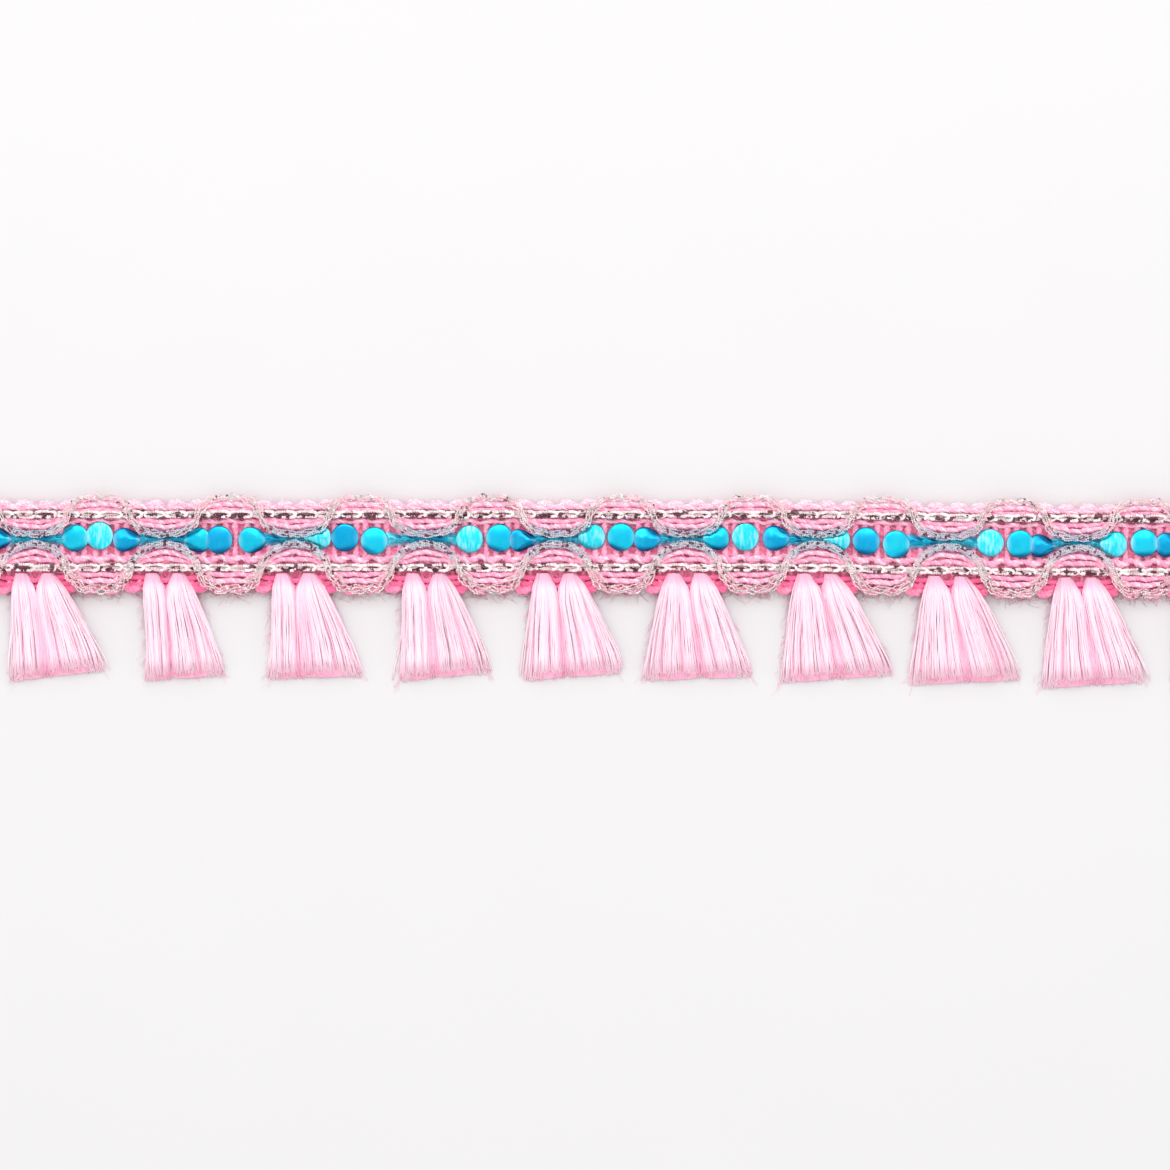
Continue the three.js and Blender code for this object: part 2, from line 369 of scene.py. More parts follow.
class TrimSizes(bpy.types.PropertyGroup):
    """Sizes of the yarns, stitches and sequins."""

    loop_yarn: width_property("Loop Yarn", "Width of the pink yarn of the ground", 1.18)
    gimp_yarn: width_property("Pink Gimp", "Width of the pink gimp of the waves", 0.95)
    chain_thread: width_property("Chain Thread", "Width of the thread of a chain stitch", 0.6)
    silver_strand: width_property("Silver Strand", "Width of one silver strand", 0.38)
    sequin_radius: width_property("Sequin Radius", "Radius of a sequin", 2.14)
    tassel_strand: width_property("Tassel Strand", "Width of one yarn of a tassel", 0.2)
    tassel_strands: bpy.props.IntProperty(
        name="Strands to a Bunch", description="Number of yarns in a bunch", default=250, min=20
    )
    hairs: bpy.props.IntProperty(
        name="Hairs", description="Number of fine hairs along one edge", default=1200, min=1
    )


class TrimColours(bpy.types.PropertyGroup):
    """Colours of the yarns and sequins."""

    pink: colour_property("Pink", "Yarn of the ground", 0.985, 0.36, 0.56)
    # Light Pink is a paler tone of the yarn and also the painted highlight on the heads of the upper loops,
    # which face the lamp.
    light: colour_property("Light Pink", "Paler tone and painted highlight of the ground yarn", 0.98, 0.76, 0.84)
    # Crimson is painted shade: on the yarns behind the tassel roots and on the heads of the lower loops in
    # the pinches.
    crimson_shade: colour_property("Crimson", "Yarn behind the tassel roots", 0.97, 0.13, 0.34)
    # Deep pink is mostly painted shade: on the lower yarns of a tassel, between its locks and bunches and at
    # its roots; it also marks the cut ends.
    pale: colour_property("Pale Pink", "Upper yarns of a tassel", 0.985, 0.73, 0.825)
    deep: colour_property("Deep Pink", "Lower yarns and cut ends", 0.985, 0.42, 0.61)
    silver: colour_property("Silver", "Metallic yarn", 0.9, 0.86, 0.85)
    # Dark Glint is painted reflection: the dark flecks where metallic yarn would mirror a dark surrounding.
    glint: colour_property("Dark Glint", "Dark flecks of metallic yarn", 0.16, 0.07, 0.09)
    # The sequin film is turquoise to blue; how far each disc lies towards turquoise is painted reflection.
    turquoise: colour_property("Turquoise", "Lightest sequins", 0.01, 0.69, 0.8)
    blue: colour_property("Blue", "Deepest sequins", 0.001, 0.34, 0.62)


def random_numbers(name, step=0):
    """A fresh source of seeded random numbers for a group of pieces."""
    return np.random.default_rng(SEEDS[name] + step)


def both_sides(name):
    """The two long sides of the braid, each with a source of random numbers of its own."""
    for number, side in enumerate(SIDES):
        yield side, random_numbers(name, number)


def join_xyz(x, y, z):
    """Places or directions from their three coordinates."""
    return np.stack(np.broadcast_arrays(x, y, z), axis=-1)


def mirrored(half):
    """The knots of a whole yarn, from those that run from its middle to its right end."""
    right = np.array(half)
    left = right[:0:-1].copy()
    left[:, 0] *= -1
    return np.concatenate([left, right])


def smooth_step(value, low, high):
    """0 at low, 1 at high and smooth between them."""
    share = np.clip((value - low) / (high - low), 0, 1)
    return share * share * (3 - 2 * share)


def bow(x):
    """How far the strip bends down at x."""
    return -BOW_DROP * smooth_step(x, BOW_START, BOW_END)


def from_window(x):
    """Distance along the strip to the middle of the nearest window."""
    return np.abs((x - LEFT_END + REPEAT / 2) % REPEAT - REPEAT / 2)


def window_share(x):
    """1 in the middle of a window, 0 in a pinch."""
    return smooth_step(from_window(x), PINCH_START, WINDOW_END)


def stitch_wave(x):
    """1 at the start of every stitch, -1 in its middle."""
    return np.cos(FULL_TURN * (x - LEFT_END) / PITCH)


def stitch_middles():
    """Where the middle of every stitch lies along the strip."""
    return LEFT_END + PITCH * (np.arange(STITCHES) + 0.5)


def tassel_middle(index):
    """Where the middle of a tassel's roots lies along the strip."""
    return LEFT_END + REPEAT * (index + 0.5)


def unit(vectors):
    """Vectors of length one."""
    return vectors / np.maximum(np.linalg.norm(vectors, axis=-1, keepdims=True), 1e-12)


def smooth_path(knots, rings):
    """Points evenly spaced along a smooth curve through each row of knots."""
    count = knots.shape[1]
    place = np.linspace(0, count - 1, rings)
    low = np.clip(place.astype(int), 0, count - 2)
    t = (place - low)[None, :, None]
    before_first = 2 * knots[:, :1] - knots[:, 1:2]
    after_last = 2 * knots[:, -1:] - knots[:, -2:-1]
    padded = np.concatenate([before_first, knots, after_last], axis=1)
    before, start, end, after = (padded[:, low + step] for step in range(4))
    return 0.5 * (
        2 * start
        + (end - before) * t
        + (2 * before - 5 * start + 4 * end - after) * t**2
        + (3 * start - before - 3 * end + after) * t**3
    )


def along_knots(values, rings):
    """Values at the knots of a path, spread over its rings."""
    return np.interp(np.linspace(0, len(values) - 1, rings), np.arange(len(values)), values)


def arc_lengths(paths):
    """Distance from the start to every point of each path."""
    steps = np.linalg.norm(np.diff(paths, axis=1), axis=2)
    return np.concatenate([np.zeros((len(paths), 1)), np.cumsum(steps, axis=1)], axis=1)


def cross_directions(paths):
    """Tangent, side and up at every point, carried along each path without twist."""
    tangent = unit(np.gradient(paths, axis=1))
    side = np.empty_like(paths)
    nearly_up = (0.0, 0.13, 1.0)
    side[:, 0] = unit(np.cross(tangent[:, 0], nearly_up))
    for ring in range(1, paths.shape[1]):
        carried = side[:, ring - 1]
        along = (carried * tangent[:, ring]).sum(1, keepdims=True)
        side[:, ring] = unit(carried - tangent[:, ring] * along)
    return tangent, side, np.cross(tangent, side)


def twisted(paths, plies, offset, turn_length, rng):
    """Paths of plies wound round each path, in the order path by path."""
    _, side, up = cross_directions(paths)
    start = rng.uniform(0, FULL_TURN, (len(paths), 1))
    turn = FULL_TURN * arc_lengths(paths) / turn_length + start
    wound = []
    for ply in range(plies):
        angle = (turn + FULL_TURN * ply / plies)[..., None]
        wound.append(paths + offset[..., None] * (np.cos(angle) * side + np.sin(angle) * up))
    return np.stack(wound, axis=1).reshape(-1, *paths.shape[1:])


def plied(paths, width, turn_length, rng, full=1.0, plies=3):
    """Paths of the plies of a yarn that follows each path, and the radius of a ply."""
    radius = PLY_RADIUS[plies] * width
    offset = np.broadcast_to((width / 2 - radius) * full, paths.shape[:2])
    return twisted(paths, plies, offset, turn_length, rng), radius


def wander(arc, wavelength, amount, rng):
    """A smooth random offset along each path."""
    total = np.zeros_like(arc)
    for octave in WANDER_OCTAVES:
        start = rng.uniform(0, FULL_TURN, (len(arc), 1))
        stretch = rng.uniform(0.8, 1.25, (len(arc), 1))
        total += octave * np.sin(FULL_TURN * arc / (wavelength * octave * stretch) + start)
    return amount * total / sum(WANDER_OCTAVES)


def mesh_from(bm, name):
    """The mesh of a finished bmesh."""
    mesh = bpy.data.meshes.new(name)
    bm.to_mesh(mesh)
    bm.free()
    return mesh


def drum(sides, rings):
    """A closed tube of radius one whose height counts the rings."""
    bm = bmesh.new()
    bmesh.ops.create_cone(bm, cap_ends=True, segments=sides, radius1=1, radius2=1, depth=rings - 1)
    bmesh.ops.translate(bm, verts=bm.verts, vec=(0, 0, (rings - 1) / 2))
    long_edges = [edge for edge in bm.edges if abs(edge.verts[0].co.z - edge.verts[1].co.z) > 0.5]
    bmesh.ops.subdivide_edges(bm, edges=long_edges, cuts=rings - 2)
    layer = bm.loops.layers.uv.new("UVMap")
    for face in bm.faces:
        middle = face.calc_center_median()
        around = math.atan2(middle.y, middle.x)
        for loop in face.loops:
            angle = math.atan2(loop.vert.co.y, loop.vert.co.x)
            gap = (angle - around + math.pi) % FULL_TURN - math.pi
            loop[layer].uv = ((around + gap) / FULL_TURN, loop.vert.co.z)
        face.smooth = abs(face.normal.z) < 0.5
    return mesh_from(bm, "drum")


def repeated(template, count):
    """One mesh that holds count copies of the template, one after the other."""
    holder = bpy.data.objects.new("repeated", template)
    bpy.context.scene.collection.objects.link(holder)
    array = holder.modifiers.new("Copies", "ARRAY")
    array.use_relative_offset = False
    array.count = count
    graph = bpy.context.evaluated_depsgraph_get()
    mesh = bpy.data.meshes.new_from_object(holder.evaluated_get(graph))
    bpy.data.objects.remove(holder)
    bpy.data.meshes.remove(template)
    return mesh


def coordinates(mesh):
    """The places of a mesh's points."""
    places = np.empty(len(mesh.vertices) * 3)
    mesh.vertices.foreach_get("co", places)
    return places.reshape(-1, 3)


def place_points(mesh, places):
    """Moves a mesh's points, and bends them with the strip."""
    bent = places.copy()
    bent[:, 1] += bow(bent[:, 0])
    mesh.vertices.foreach_set("co", bent.ravel())
    mesh.update()


def spread_out(values, count, rings):
    """Gives every ring of every strand its own number. None stands for zero."""
    values = np.zeros(count) if values is None else np.asarray(values, float)
    return np.broadcast_to(values if values.ndim == 2 else values[:, None], (count, rings))


def store(mesh, tone, along, layer):
    """Keeps three numbers of each point where the materials can read them."""
    data = np.stack([tone.ravel(), along.ravel(), layer.ravel(), np.ones(tone.size)], axis=1)
    mesh.attributes.new("yarn", "FLOAT_COLOR", "POINT").data.foreach_set("color", data.ravel())


def measure_uv(mesh, arc):
    """Turns v of a mesh of tubes from the number of a ring into millimetres along its path."""
    uv = np.empty(len(mesh.loops) * 2)
    mesh.uv_layers.active.data.foreach_get("uv", uv)
    uv = uv.reshape(len(arc), -1, 2)
    loop_ring = np.rint(uv[0, :, 1]).astype(int)
    uv[..., 1] = arc[:, loop_ring] / MM
    mesh.uv_layers.active.data.foreach_set("uv", uv.ravel())


def tubes(paths, radius, sides, facets=None, tone=None, layer=None):
    """A mesh with one closed tube along each path. The radius may change along it. Facets is the length in
    which the sides of a tube of flat film turn once round it. Without it the tube is smooth."""
    count, rings = paths.shape[:2]
    mesh = repeated(drum(sides, rings), count)
    points = sides * rings
    template = coordinates(mesh)[:points]
    ring = np.rint(template[:, 2]).astype(int)
    angle = np.arctan2(template[:, 1], template[:, 0])
    _, side, up = cross_directions(paths)
    arc = arc_lengths(paths)
    twist = FULL_TURN / facets if facets else 0.0
    turned = (angle[None, :] + (twist * arc)[:, ring])[..., None]
    wide = np.broadcast_to(radius, (count, rings))[:, ring, None]
    around = np.cos(turned) * side[:, ring] + np.sin(turned) * up[:, ring]
    place_points(mesh, (paths[:, ring] + wide * around).reshape(-1, 3))
    along = np.broadcast_to(ring / (rings - 1), (count, points))
    store(mesh, spread_out(tone, count, rings)[:, ring], along, spread_out(layer, count, rings)[:, ring])
    measure_uv(mesh, arc)
    if facets:
        mesh.polygons.foreach_set("use_smooth", np.zeros(len(mesh.polygons), bool))
    return mesh


def show(name, mesh, material, replaced=()):
    """Makes a finished piece of a mesh: it rides on the strip and stands for some of the frame's nodes."""
    mesh.name = name
    piece = bpy.data.objects.new(name, mesh)
    bpy.context.scene.collection.objects.link(piece)
    mesh.materials.clear()
    mesh.materials.append(bpy.data.materials[material])
    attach(piece, BODY)
    if replaced:
        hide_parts(*replaced)
    return piece


def new_material(name, constants):
    """A material with one Principled shader whose sockets hold the constants, its nodes and the shader."""
    material = bpy.data.materials.new(name)
    material.use_nodes = True
    tree = material.node_tree
    shader = next(node for node in tree.nodes if node.type == "BSDF_PRINCIPLED")
    for socket, value in constants.items():
        shader.inputs[socket].default_value = value
    return material, tree, shader


def feed(tree, socket, value):
    """Links a socket to another node's output, or sets it to a number, colour or vector."""
    if isinstance(value, bpy.types.NodeSocket):
        tree.links.new(value, socket)
    else:
        socket.default_value = value


def add_node(tree, kind, inputs, **settings):
    """A node with its settings and its inputs."""
    node = tree.nodes.new(kind)
    for setting, value in settings.items():
        setattr(node, setting, value)
    for socket, value in inputs.items():
        feed(tree, node.inputs[socket], value)
    return node


def use_group(tree, name, inputs):
    """A node that holds one of the shared groups."""
    return add_node(tree, "ShaderNodeGroup", inputs, node_tree=bpy.data.node_groups[name])


def mix_colours(tree, share, first, second):
    """The colour output of a mix of two colours."""
    return add_node(tree, "ShaderNodeMix", {0: share, 6: first, 7: second}, data_type="RGBA").outputs[2]


def maths(tree, operation, first, second=0.0, clamp=False):
    """The output of one sum."""
    inputs = {0: first, 1: second}
    return add_node(tree, "ShaderNodeMath", inputs, operation=operation, use_clamp=clamp).outputs[0]


def ramp(tree, value, low, high, to_low=0.0, to_high=1.0):
    """Maps a value smoothly from one range to another."""
    inputs = {0: value, 1: low, 2: high, 3: to_low, 4: to_high}
    return add_node(tree, "ShaderNodeMapRange", inputs, interpolation_type="SMOOTHSTEP").outputs[0]


def noise(tree, place, scale, detail):
    """The output of a noise pattern."""
    inputs = {"Vector": place, "Scale": scale, "Detail": detail}
    return add_node(tree, "ShaderNodeTexNoise", inputs).outputs[0]


def parts_of(tree, vector):
    """The three numbers of a vector."""
    return add_node(tree, "ShaderNodeSeparateXYZ", {0: vector}).outputs


def object_place(tree):
    """Where a point lies on the strip."""
    return add_node(tree, "ShaderNodeTexCoord", {}).outputs["Object"]


def yarn_uv(tree):
    """The UV of the yarns and the ground: u round a yarn and v in millimetres along it."""
    return add_node(tree, "ShaderNodeUVMap", {}, uv_map="UVMap").outputs[0]


def read_yarn(tree):
    """The tone, along and layer numbers of the yarns."""
    attribute = add_node(tree, "ShaderNodeAttribute", {}, attribute_name="yarn")
    return add_node(tree, "ShaderNodeSeparateColor", {0: attribute.outputs["Color"]}).outputs


def colour_from(tree, shader, colour):
    """Feeds a colour to a shader."""
    tree.links.new(colour, shader.inputs["Base Color"])


def bump_from(tree, shader, height, strength, distance):
    """Feeds a bump of some height to a shader."""
    bump = add_node(tree, "ShaderNodeBump", {"Strength": strength, "Distance": distance, "Height": height})
    tree.links.new(bump.outputs[0], shader.inputs["Normal"])


def darker(colour, green, blue):
    """A colour with a little less red, and with these shares of its green and blue."""
    return (colour[0] * 0.97, colour[1] * green, colour[2] * blue, 1)


def new_group(name, inputs, outputs):
    """A shader node group that takes a vector and the numbers given with their defaults."""
    group = bpy.data.node_groups.new(name, "ShaderNodeTree")
    group.interface.new_socket(name="Vector", in_out="INPUT", socket_type="NodeSocketVector")
    for label, default in inputs.items():
        socket = group.interface.new_socket(name=label, in_out="INPUT", socket_type="NodeSocketFloat")
        socket.default_value = default
    for label in outputs:
        group.interface.new_socket(name=label, in_out="OUTPUT", socket_type="NodeSocketFloat")
    start = group.nodes.new("NodeGroupInput")
    end = group.nodes.new("NodeGroupOutput")
    return group, start, end


def fibre_group():
    """Fine fibres that run along a yarn: streaks in UV, where u goes round and v counts millimetres."""
    inputs = {"Lean": 0.6, "Fineness": 14.0}
    group, start, end = new_group("Yarn Fibres", inputs, ("Streaks", "Soft"))
    parts = parts_of(group, start.outputs["Vector"])
    leaning = maths(group, "MULTIPLY", parts[1], start.outputs["Lean"])
    across = maths(group, "ADD", parts[0], leaning)
    along = maths(group, "MULTIPLY", parts[1], 0.35)
    place = add_node(group, "ShaderNodeCombineXYZ", {0: across, 1: along}).outputs[0]
    streaks = noise(group, place, scale=start.outputs["Fineness"], detail=3.0)
    soft = noise(group, start.outputs["Vector"], scale=0.9, detail=2.0)
    group.links.new(streaks, end.inputs["Streaks"])
    group.links.new(soft, end.inputs["Soft"])


def glitter_group():
    """Facets of metallic yarn: a mask of dark flecks, painted reflections of a dark surrounding, and a height
    that change over part of a millimetre.
    """
    inputs = {"Fleck Size": 2200.0, "Share": 0.3}
    group, start, end = new_group("Metal Glitter", inputs, ("Dark", "Height"))
    vector, fleck_size = start.outputs["Vector"], start.outputs["Fleck Size"]
    cells = add_node(group, "ShaderNodeTexVoronoi", {"Vector": vector, "Scale": fleck_size})
    parts = add_node(group, "ShaderNodeSeparateColor", {0: cells.outputs["Color"]}).outputs
    dark = maths(group, "LESS_THAN", parts[0], start.outputs["Share"])
    group.links.new(dark, end.inputs["Dark"])
    group.links.new(parts[1], end.inputs["Height"])


def pink_material(colours):
    """Matte plied yarn of the ground, in a slightly uneven pink. The tone number mixes in light pink, for
    uneven tone and for painted highlight; the layer number mixes in crimson, for painted shade.
    """
    _, tree, shader = new_material("pink yarn", {"Roughness": 0.82, **YARN_SHEEN})
    fibres = use_group(tree, "Yarn Fibres", {"Vector": yarn_uv(tree), "Lean": 0.5, "Fineness": 6.0})
    streaks, soft = fibres.outputs["Streaks"], fibres.outputs["Soft"]
    tone, _, layer = read_yarn(tree)
    pink = tuple(colours.pink)
    # Light pink for uneven tone and for painted highlight.
    tone_and_highlight = maths(tree, "ADD", tone, ramp(tree, soft, 0.35, 0.65, -0.15, 0.2), clamp=True)
    base = mix_colours(tree, tone_and_highlight, pink, tuple(colours.light))
    # Painted shade in crimson where the layer number is high.
    base = mix_colours(tree, layer, base, tuple(colours.crimson_shade))
    base = mix_colours(tree, ramp(tree, streaks, 0.38, 0.62, 0.45, 0.0), base, darker(pink, 0.5, 0.62))
    colour_from(tree, shader, base)
    bump_from(tree, shader, streaks, strength=0.8, distance=0.15 * MM)


def ground_material(colours):
    """Knitted face of the ground sheet: rows of small stitches in UV millimetres, with painted shade in their
    hollows and uneven darker patches.
    """
    constants = {"Roughness": 0.85, "Sheen Weight": 0.2, "Sheen Roughness": 0.5}
    _, tree, shader = new_material("pink knit", constants)
    uv = yarn_uv(tree)
    parts = parts_of(tree, uv)
    rows = maths(tree, "MULTIPLY", parts[0], FULL_TURN / (PITCH / MM / 2))
    courses = maths(tree, "MULTIPLY", parts[1], FULL_TURN / COURSE)
    wave = maths(tree, "SINE", maths(tree, "ADD", courses, maths(tree, "SINE", rows)))
    ribs = maths(tree, "ABSOLUTE", maths(tree, "COSINE", maths(tree, "MULTIPLY", rows, 0.5)))
    height = maths(tree, "MULTIPLY", maths(tree, "ADD", wave, 1.0), ribs)
    pink = tuple(colours.pink)
    dark = darker(pink, 0.4, 0.5)
    # Painted shade: darker pink where the knit is low, in its hollows.
    base = mix_colours(tree, ramp(tree, height, 0.2, 1.4, 0.7, 0.0), pink, dark)
    patches = noise(tree, uv, scale=6.0, detail=4.0)
    base = mix_colours(tree, ramp(tree, patches, 0.3, 0.7, 0.3, 0.0), base, dark)
    colour_from(tree, shader, base)
    bump_from(tree, shader, height, strength=0.8, distance=0.2 * MM)


def metal_material(name, colours, dark_share, metallic, fleck_size, pink_reflection, greyness):
    """Metallic yarn: bright film with dark flecks, painted reflections of a dark surrounding, more of them
    where the layer number is high, as painted shade on the chains. Patches of pink and, where the tone number
    is high, the blue of the sequins are painted reflections too."""
    _, tree, shader = new_material(name, {})
    place = object_place(tree)
    tone, _, layer = read_yarn(tree)
    share = maths(tree, "ADD", maths(tree, "MULTIPLY", layer, 1 - dark_share), dark_share)
    glitter = use_group(tree, "Metal Glitter", {"Vector": place, "Fleck Size": fleck_size, "Share": share})
    height = glitter.outputs["Height"]
    silver = tuple(colours.silver)
    grey = tuple(value * 0.55 for value in silver[:3]) + (1,)
    # Painted reflection: patches of pink, as if the metal mirrored the pink yarn around it.
    reflected_pink = (silver[0], silver[1] * (1 - pink_reflection), silver[2] * (1 - 0.75 * pink_reflection), 1)
    patches = noise(tree, place, scale=900.0, detail=2.0)
    base = mix_colours(tree, ramp(tree, height, 0.3, 1.0, 0.0, greyness), silver, grey)
    base = mix_colours(tree, ramp(tree, patches, 0.4, 0.6), base, reflected_pink)
    # Painted reflection of the sequins where the tone number is high.
    base = mix_colours(tree, tone, base, SEQUIN_REFLECTION)
    # Painted reflection and shade: dark flecks in the glint colour.
    base = mix_colours(tree, glitter.outputs["Dark"], base, tuple(colours.glint))
    colour_from(tree, shader, base)
    tree.links.new(maths(tree, "MULTIPLY", height, metallic, clamp=True), shader.inputs["Metallic"])
    tree.links.new(ramp(tree, height, 0.0, 1.0, 0.18, 0.5), shader.inputs["Roughness"])
    bump_from(tree, shader, height, strength=0.6, distance=0.15 * MM)


def sequin_material(colours):
    """Glossy metallic film from light turquoise to deep blue, a little cloudy, with painted highlight in pale
    streaks and at the rim, and painted shade.
    """
    _, tree, shader = new_material("sequin film", {"Coat Weight": 0.08, "Coat Roughness": 0.1})
    tone, shaded, rim = read_yarn(tree)
    place = object_place(tree)
    cloud = noise(tree, place, scale=420.0, detail=3.0)
    stretched = add_node(tree, "ShaderNodeMapping", {"Vector": place, "Scale": (1.0, 0.25, 0.25)}).outputs[0]
    streaks = noise(tree, stretched, scale=2600.0, detail=3.0)
    shade = maths(tree, "ADD", tone, ramp(tree, cloud, 0.3, 0.7, -0.16, 0.16), clamp=True)
    less_when_deep = ramp(tree, tone, 0.0, 0.5, 0.42, 0.01)
    # Painted highlight: pale glint streaks on the lighter sequins.
    glint_streaks = maths(tree, "MULTIPLY", ramp(tree, streaks, 0.4, 0.7), less_when_deep)
    base = mix_colours(tree, shade, tuple(colours.turquoise), tuple(colours.blue))
    base = mix_colours(tree, glint_streaks, base, HIGHLIGHT_FILM)
    base = mix_colours(tree, shaded, base, SHADED_FILM)
    # Painted highlight at the rim.
    base = mix_colours(tree, rim, base, HIGHLIGHT_FILM)
    colour_from(tree, shader, base)
    tree.links.new(ramp(tree, cloud, 0.3, 0.7, 0.85, 0.97), shader.inputs["Metallic"])
    tree.links.new(ramp(tree, cloud, 0.3, 0.7, 0.22, 0.38), shader.inputs["Roughness"])


def core_material(colours):
    """The inside of a bunch: fine streaks of pale and deep pink that run down it, with painted shade at its
    roots.
    """
    _, tree, shader = new_material("tassel core", {"Roughness": 0.9, **YARN_SHEEN})
    parts = parts_of(tree, yarn_uv(tree))
    along_uv = maths(tree, "MULTIPLY", parts[1], 0.02)
    place = add_node(tree, "ShaderNodeCombineXYZ", {0: parts[0], 1: along_uv}).outputs[0]
    streaks = noise(tree, place, scale=70.0, detail=3.0)
    _, along, _ = read_yarn(tree)
    deep = tuple(colours.deep)
    base = mix_colours(tree, ramp(tree, streaks, 0.35, 0.65, 0.2, 0.75), tuple(colours.pale), deep)
    base = mix_colours(tree, ramp(tree, along, 0.84, 0.95, 0.0, 0.7), base, deep)
    # Painted shade at the roots, where the yarns come out from under the braid.
    base = mix_colours(tree, ramp(tree, along, 0.02, 0.14, 0.8, 0.0), base, deep)
    colour_from(tree, shader, base)
    bump_from(tree, shader, streaks, strength=0.6, distance=0.2 * MM)


def tassel_material(colours):
    """Soft cut yarn: pale on top, deeper pink painted as shade on the lower yarns, between locks and bunches
    and at the roots, and deeper at the cut ends.
    """
    _, tree, shader = new_material("tassel yarn", {"Roughness": 0.85, **YARN_SHEEN})
    tone, along, layer = read_yarn(tree)
    pale, deep = tuple(colours.pale), tuple(colours.deep)
    middle = tuple(0.35 * light + 0.65 * dark for light, dark in zip(pale, deep))
    # Painted shade in a deeper pink between the locks and between the two bunches, on a little random tone.
    base = mix_colours(tree, ramp(tree, tone, 0.3, 1.0, 0.0, 0.9), pale, middle)
    # Painted shade on the lower yarns.
    base = mix_colours(tree, ramp(tree, layer, 0.15, 0.7, 0.65, 0.0), base, deep)
    base = mix_colours(tree, ramp(tree, along, 0.9, 0.99, 0.0, 0.25), base, deep)
    # Painted shade at the roots, where the yarns come out from under the braid.
    base = mix_colours(tree, ramp(tree, along, 0.03, 0.17, 0.75, 0.0), base, deep)
    colour_from(tree, shader, base)
    fibres = use_group(tree, "Yarn Fibres", {"Vector": yarn_uv(tree), "Lean": 0.2, "Fineness": 6.0})
    bump_from(tree, shader, fibres.outputs["Streaks"], strength=0.25, distance=0.05 * MM)


def floor_material():
    """Plain pale card with a hint of unevenness."""
    material, tree, shader = new_material("pale card", {"Roughness": 0.9})
    uneven = noise(tree, object_place(tree), scale=40.0, detail=4.0)
    colour_from(tree, shader, mix_colours(tree, uneven, FLOOR_DARKER, FLOOR_LIGHTER))
    return material


class TRIM_OT_camera(bpy.types.Operator):
    """Looks straight down on the strip, as wide as the picture shows"""

    bl_idname = "trim.camera"
    bl_label = "Camera"

    def execute(self, context):
        data = bpy.data.cameras.new("camera")
        data.lens = LENS
        data.clip_start = 0.01
        data.clip_end = 20
        camera = bpy.data.objects.new("camera", data)
        context.scene.collection.objects.link(camera)
        distance = PHOTO_WIDTH * data.lens / data.sensor_width
        camera.location = (PHOTO_CENTRE[0], PHOTO_CENTRE[1], distance)
        context.scene.camera = camera
        return {"FINISHED"}


def make_floor(scene):
    """A wide round card under the strip."""
    bm = bmesh.new()
    bmesh.ops.create_circle(bm, cap_ends=True, segments=64, radius=FLOOR_RADIUS)
    bmesh.ops.translate(bm, verts=bm.verts, vec=(0, 0, FLOOR_HEIGHT))
    mesh = mesh_from(bm, "floor")
    mesh.materials.append(floor_material())
    floor = bpy.data.objects.new("floor", mesh)
    scene.collection.objects.link(floor)


def make_lamp(scene):
    """A softbox on the far side of the strip."""
    lamp = bpy.data.lights.new("softbox", "AREA")
    lamp.shape = "RECTANGLE"
    lamp.size, lamp.size_y = LAMP_SIZE
    lamp.energy = LAMP_WATTS
    softbox = bpy.data.objects.new("softbox", lamp)
    softbox.location = LAMP_PLACE
    softbox.rotation_euler = (LAMP_TILT, 0, 0)
    scene.collection.objects.link(softbox)


class TRIM_OT_stage(bpy.types.Operator):
    """Pale floor, a soft lamp from the far side of the strip and a bright even surrounding"""

    bl_idname = "trim.stage"
    bl_label = "Stage"

    def execute(self, context):
        make_floor(context.scene)
        make_lamp(context.scene)
        world = bpy.data.worlds.new("surrounding")
        world.use_nodes = True
        background = world.node_tree.nodes["Background"]
        background.inputs["Color"].default_value = (1, 1, 1, 1)
        background.inputs["Strength"].default_value = SURROUNDING_LIGHT
        context.scene.world = world
        context.scene.view_settings.view_transform = "Standard"
        return {"FINISHED"}


class TRIM_OT_materials(bpy.types.Operator):
    """Makes the shared node groups and every material of the strip"""

    bl_idname = "trim.materials"
    bl_label = "Materials"

    def execute(self, context):
        colours = context.scene.trim_colours
        fibre_group()
        glitter_group()
        pink_material(colours)
        ground_material(colours)
        metal_material(
            "chain thread", colours, dark_share=0.06, metallic=0.7, fleck_size=1500.0, pink_reflection=0.15, greyness=0.4
        )
        metal_material(
            "silver strand", colours, dark_share=0.04, metallic=0.6, fleck_size=2400.0, pink_reflection=0.2, greyness=0.9
        )
        sequin_material(colours)
        tassel_material(colours)
        core_material(colours)
        return {"FINISHED"}


def reach_at(side, x):
    """How far the loops reach from the middle line at x."""
    reach = LOOP_REACH[side]
    return (reach["pinch"] + (reach["window"] - reach["pinch"]) * window_share(x)) * MM


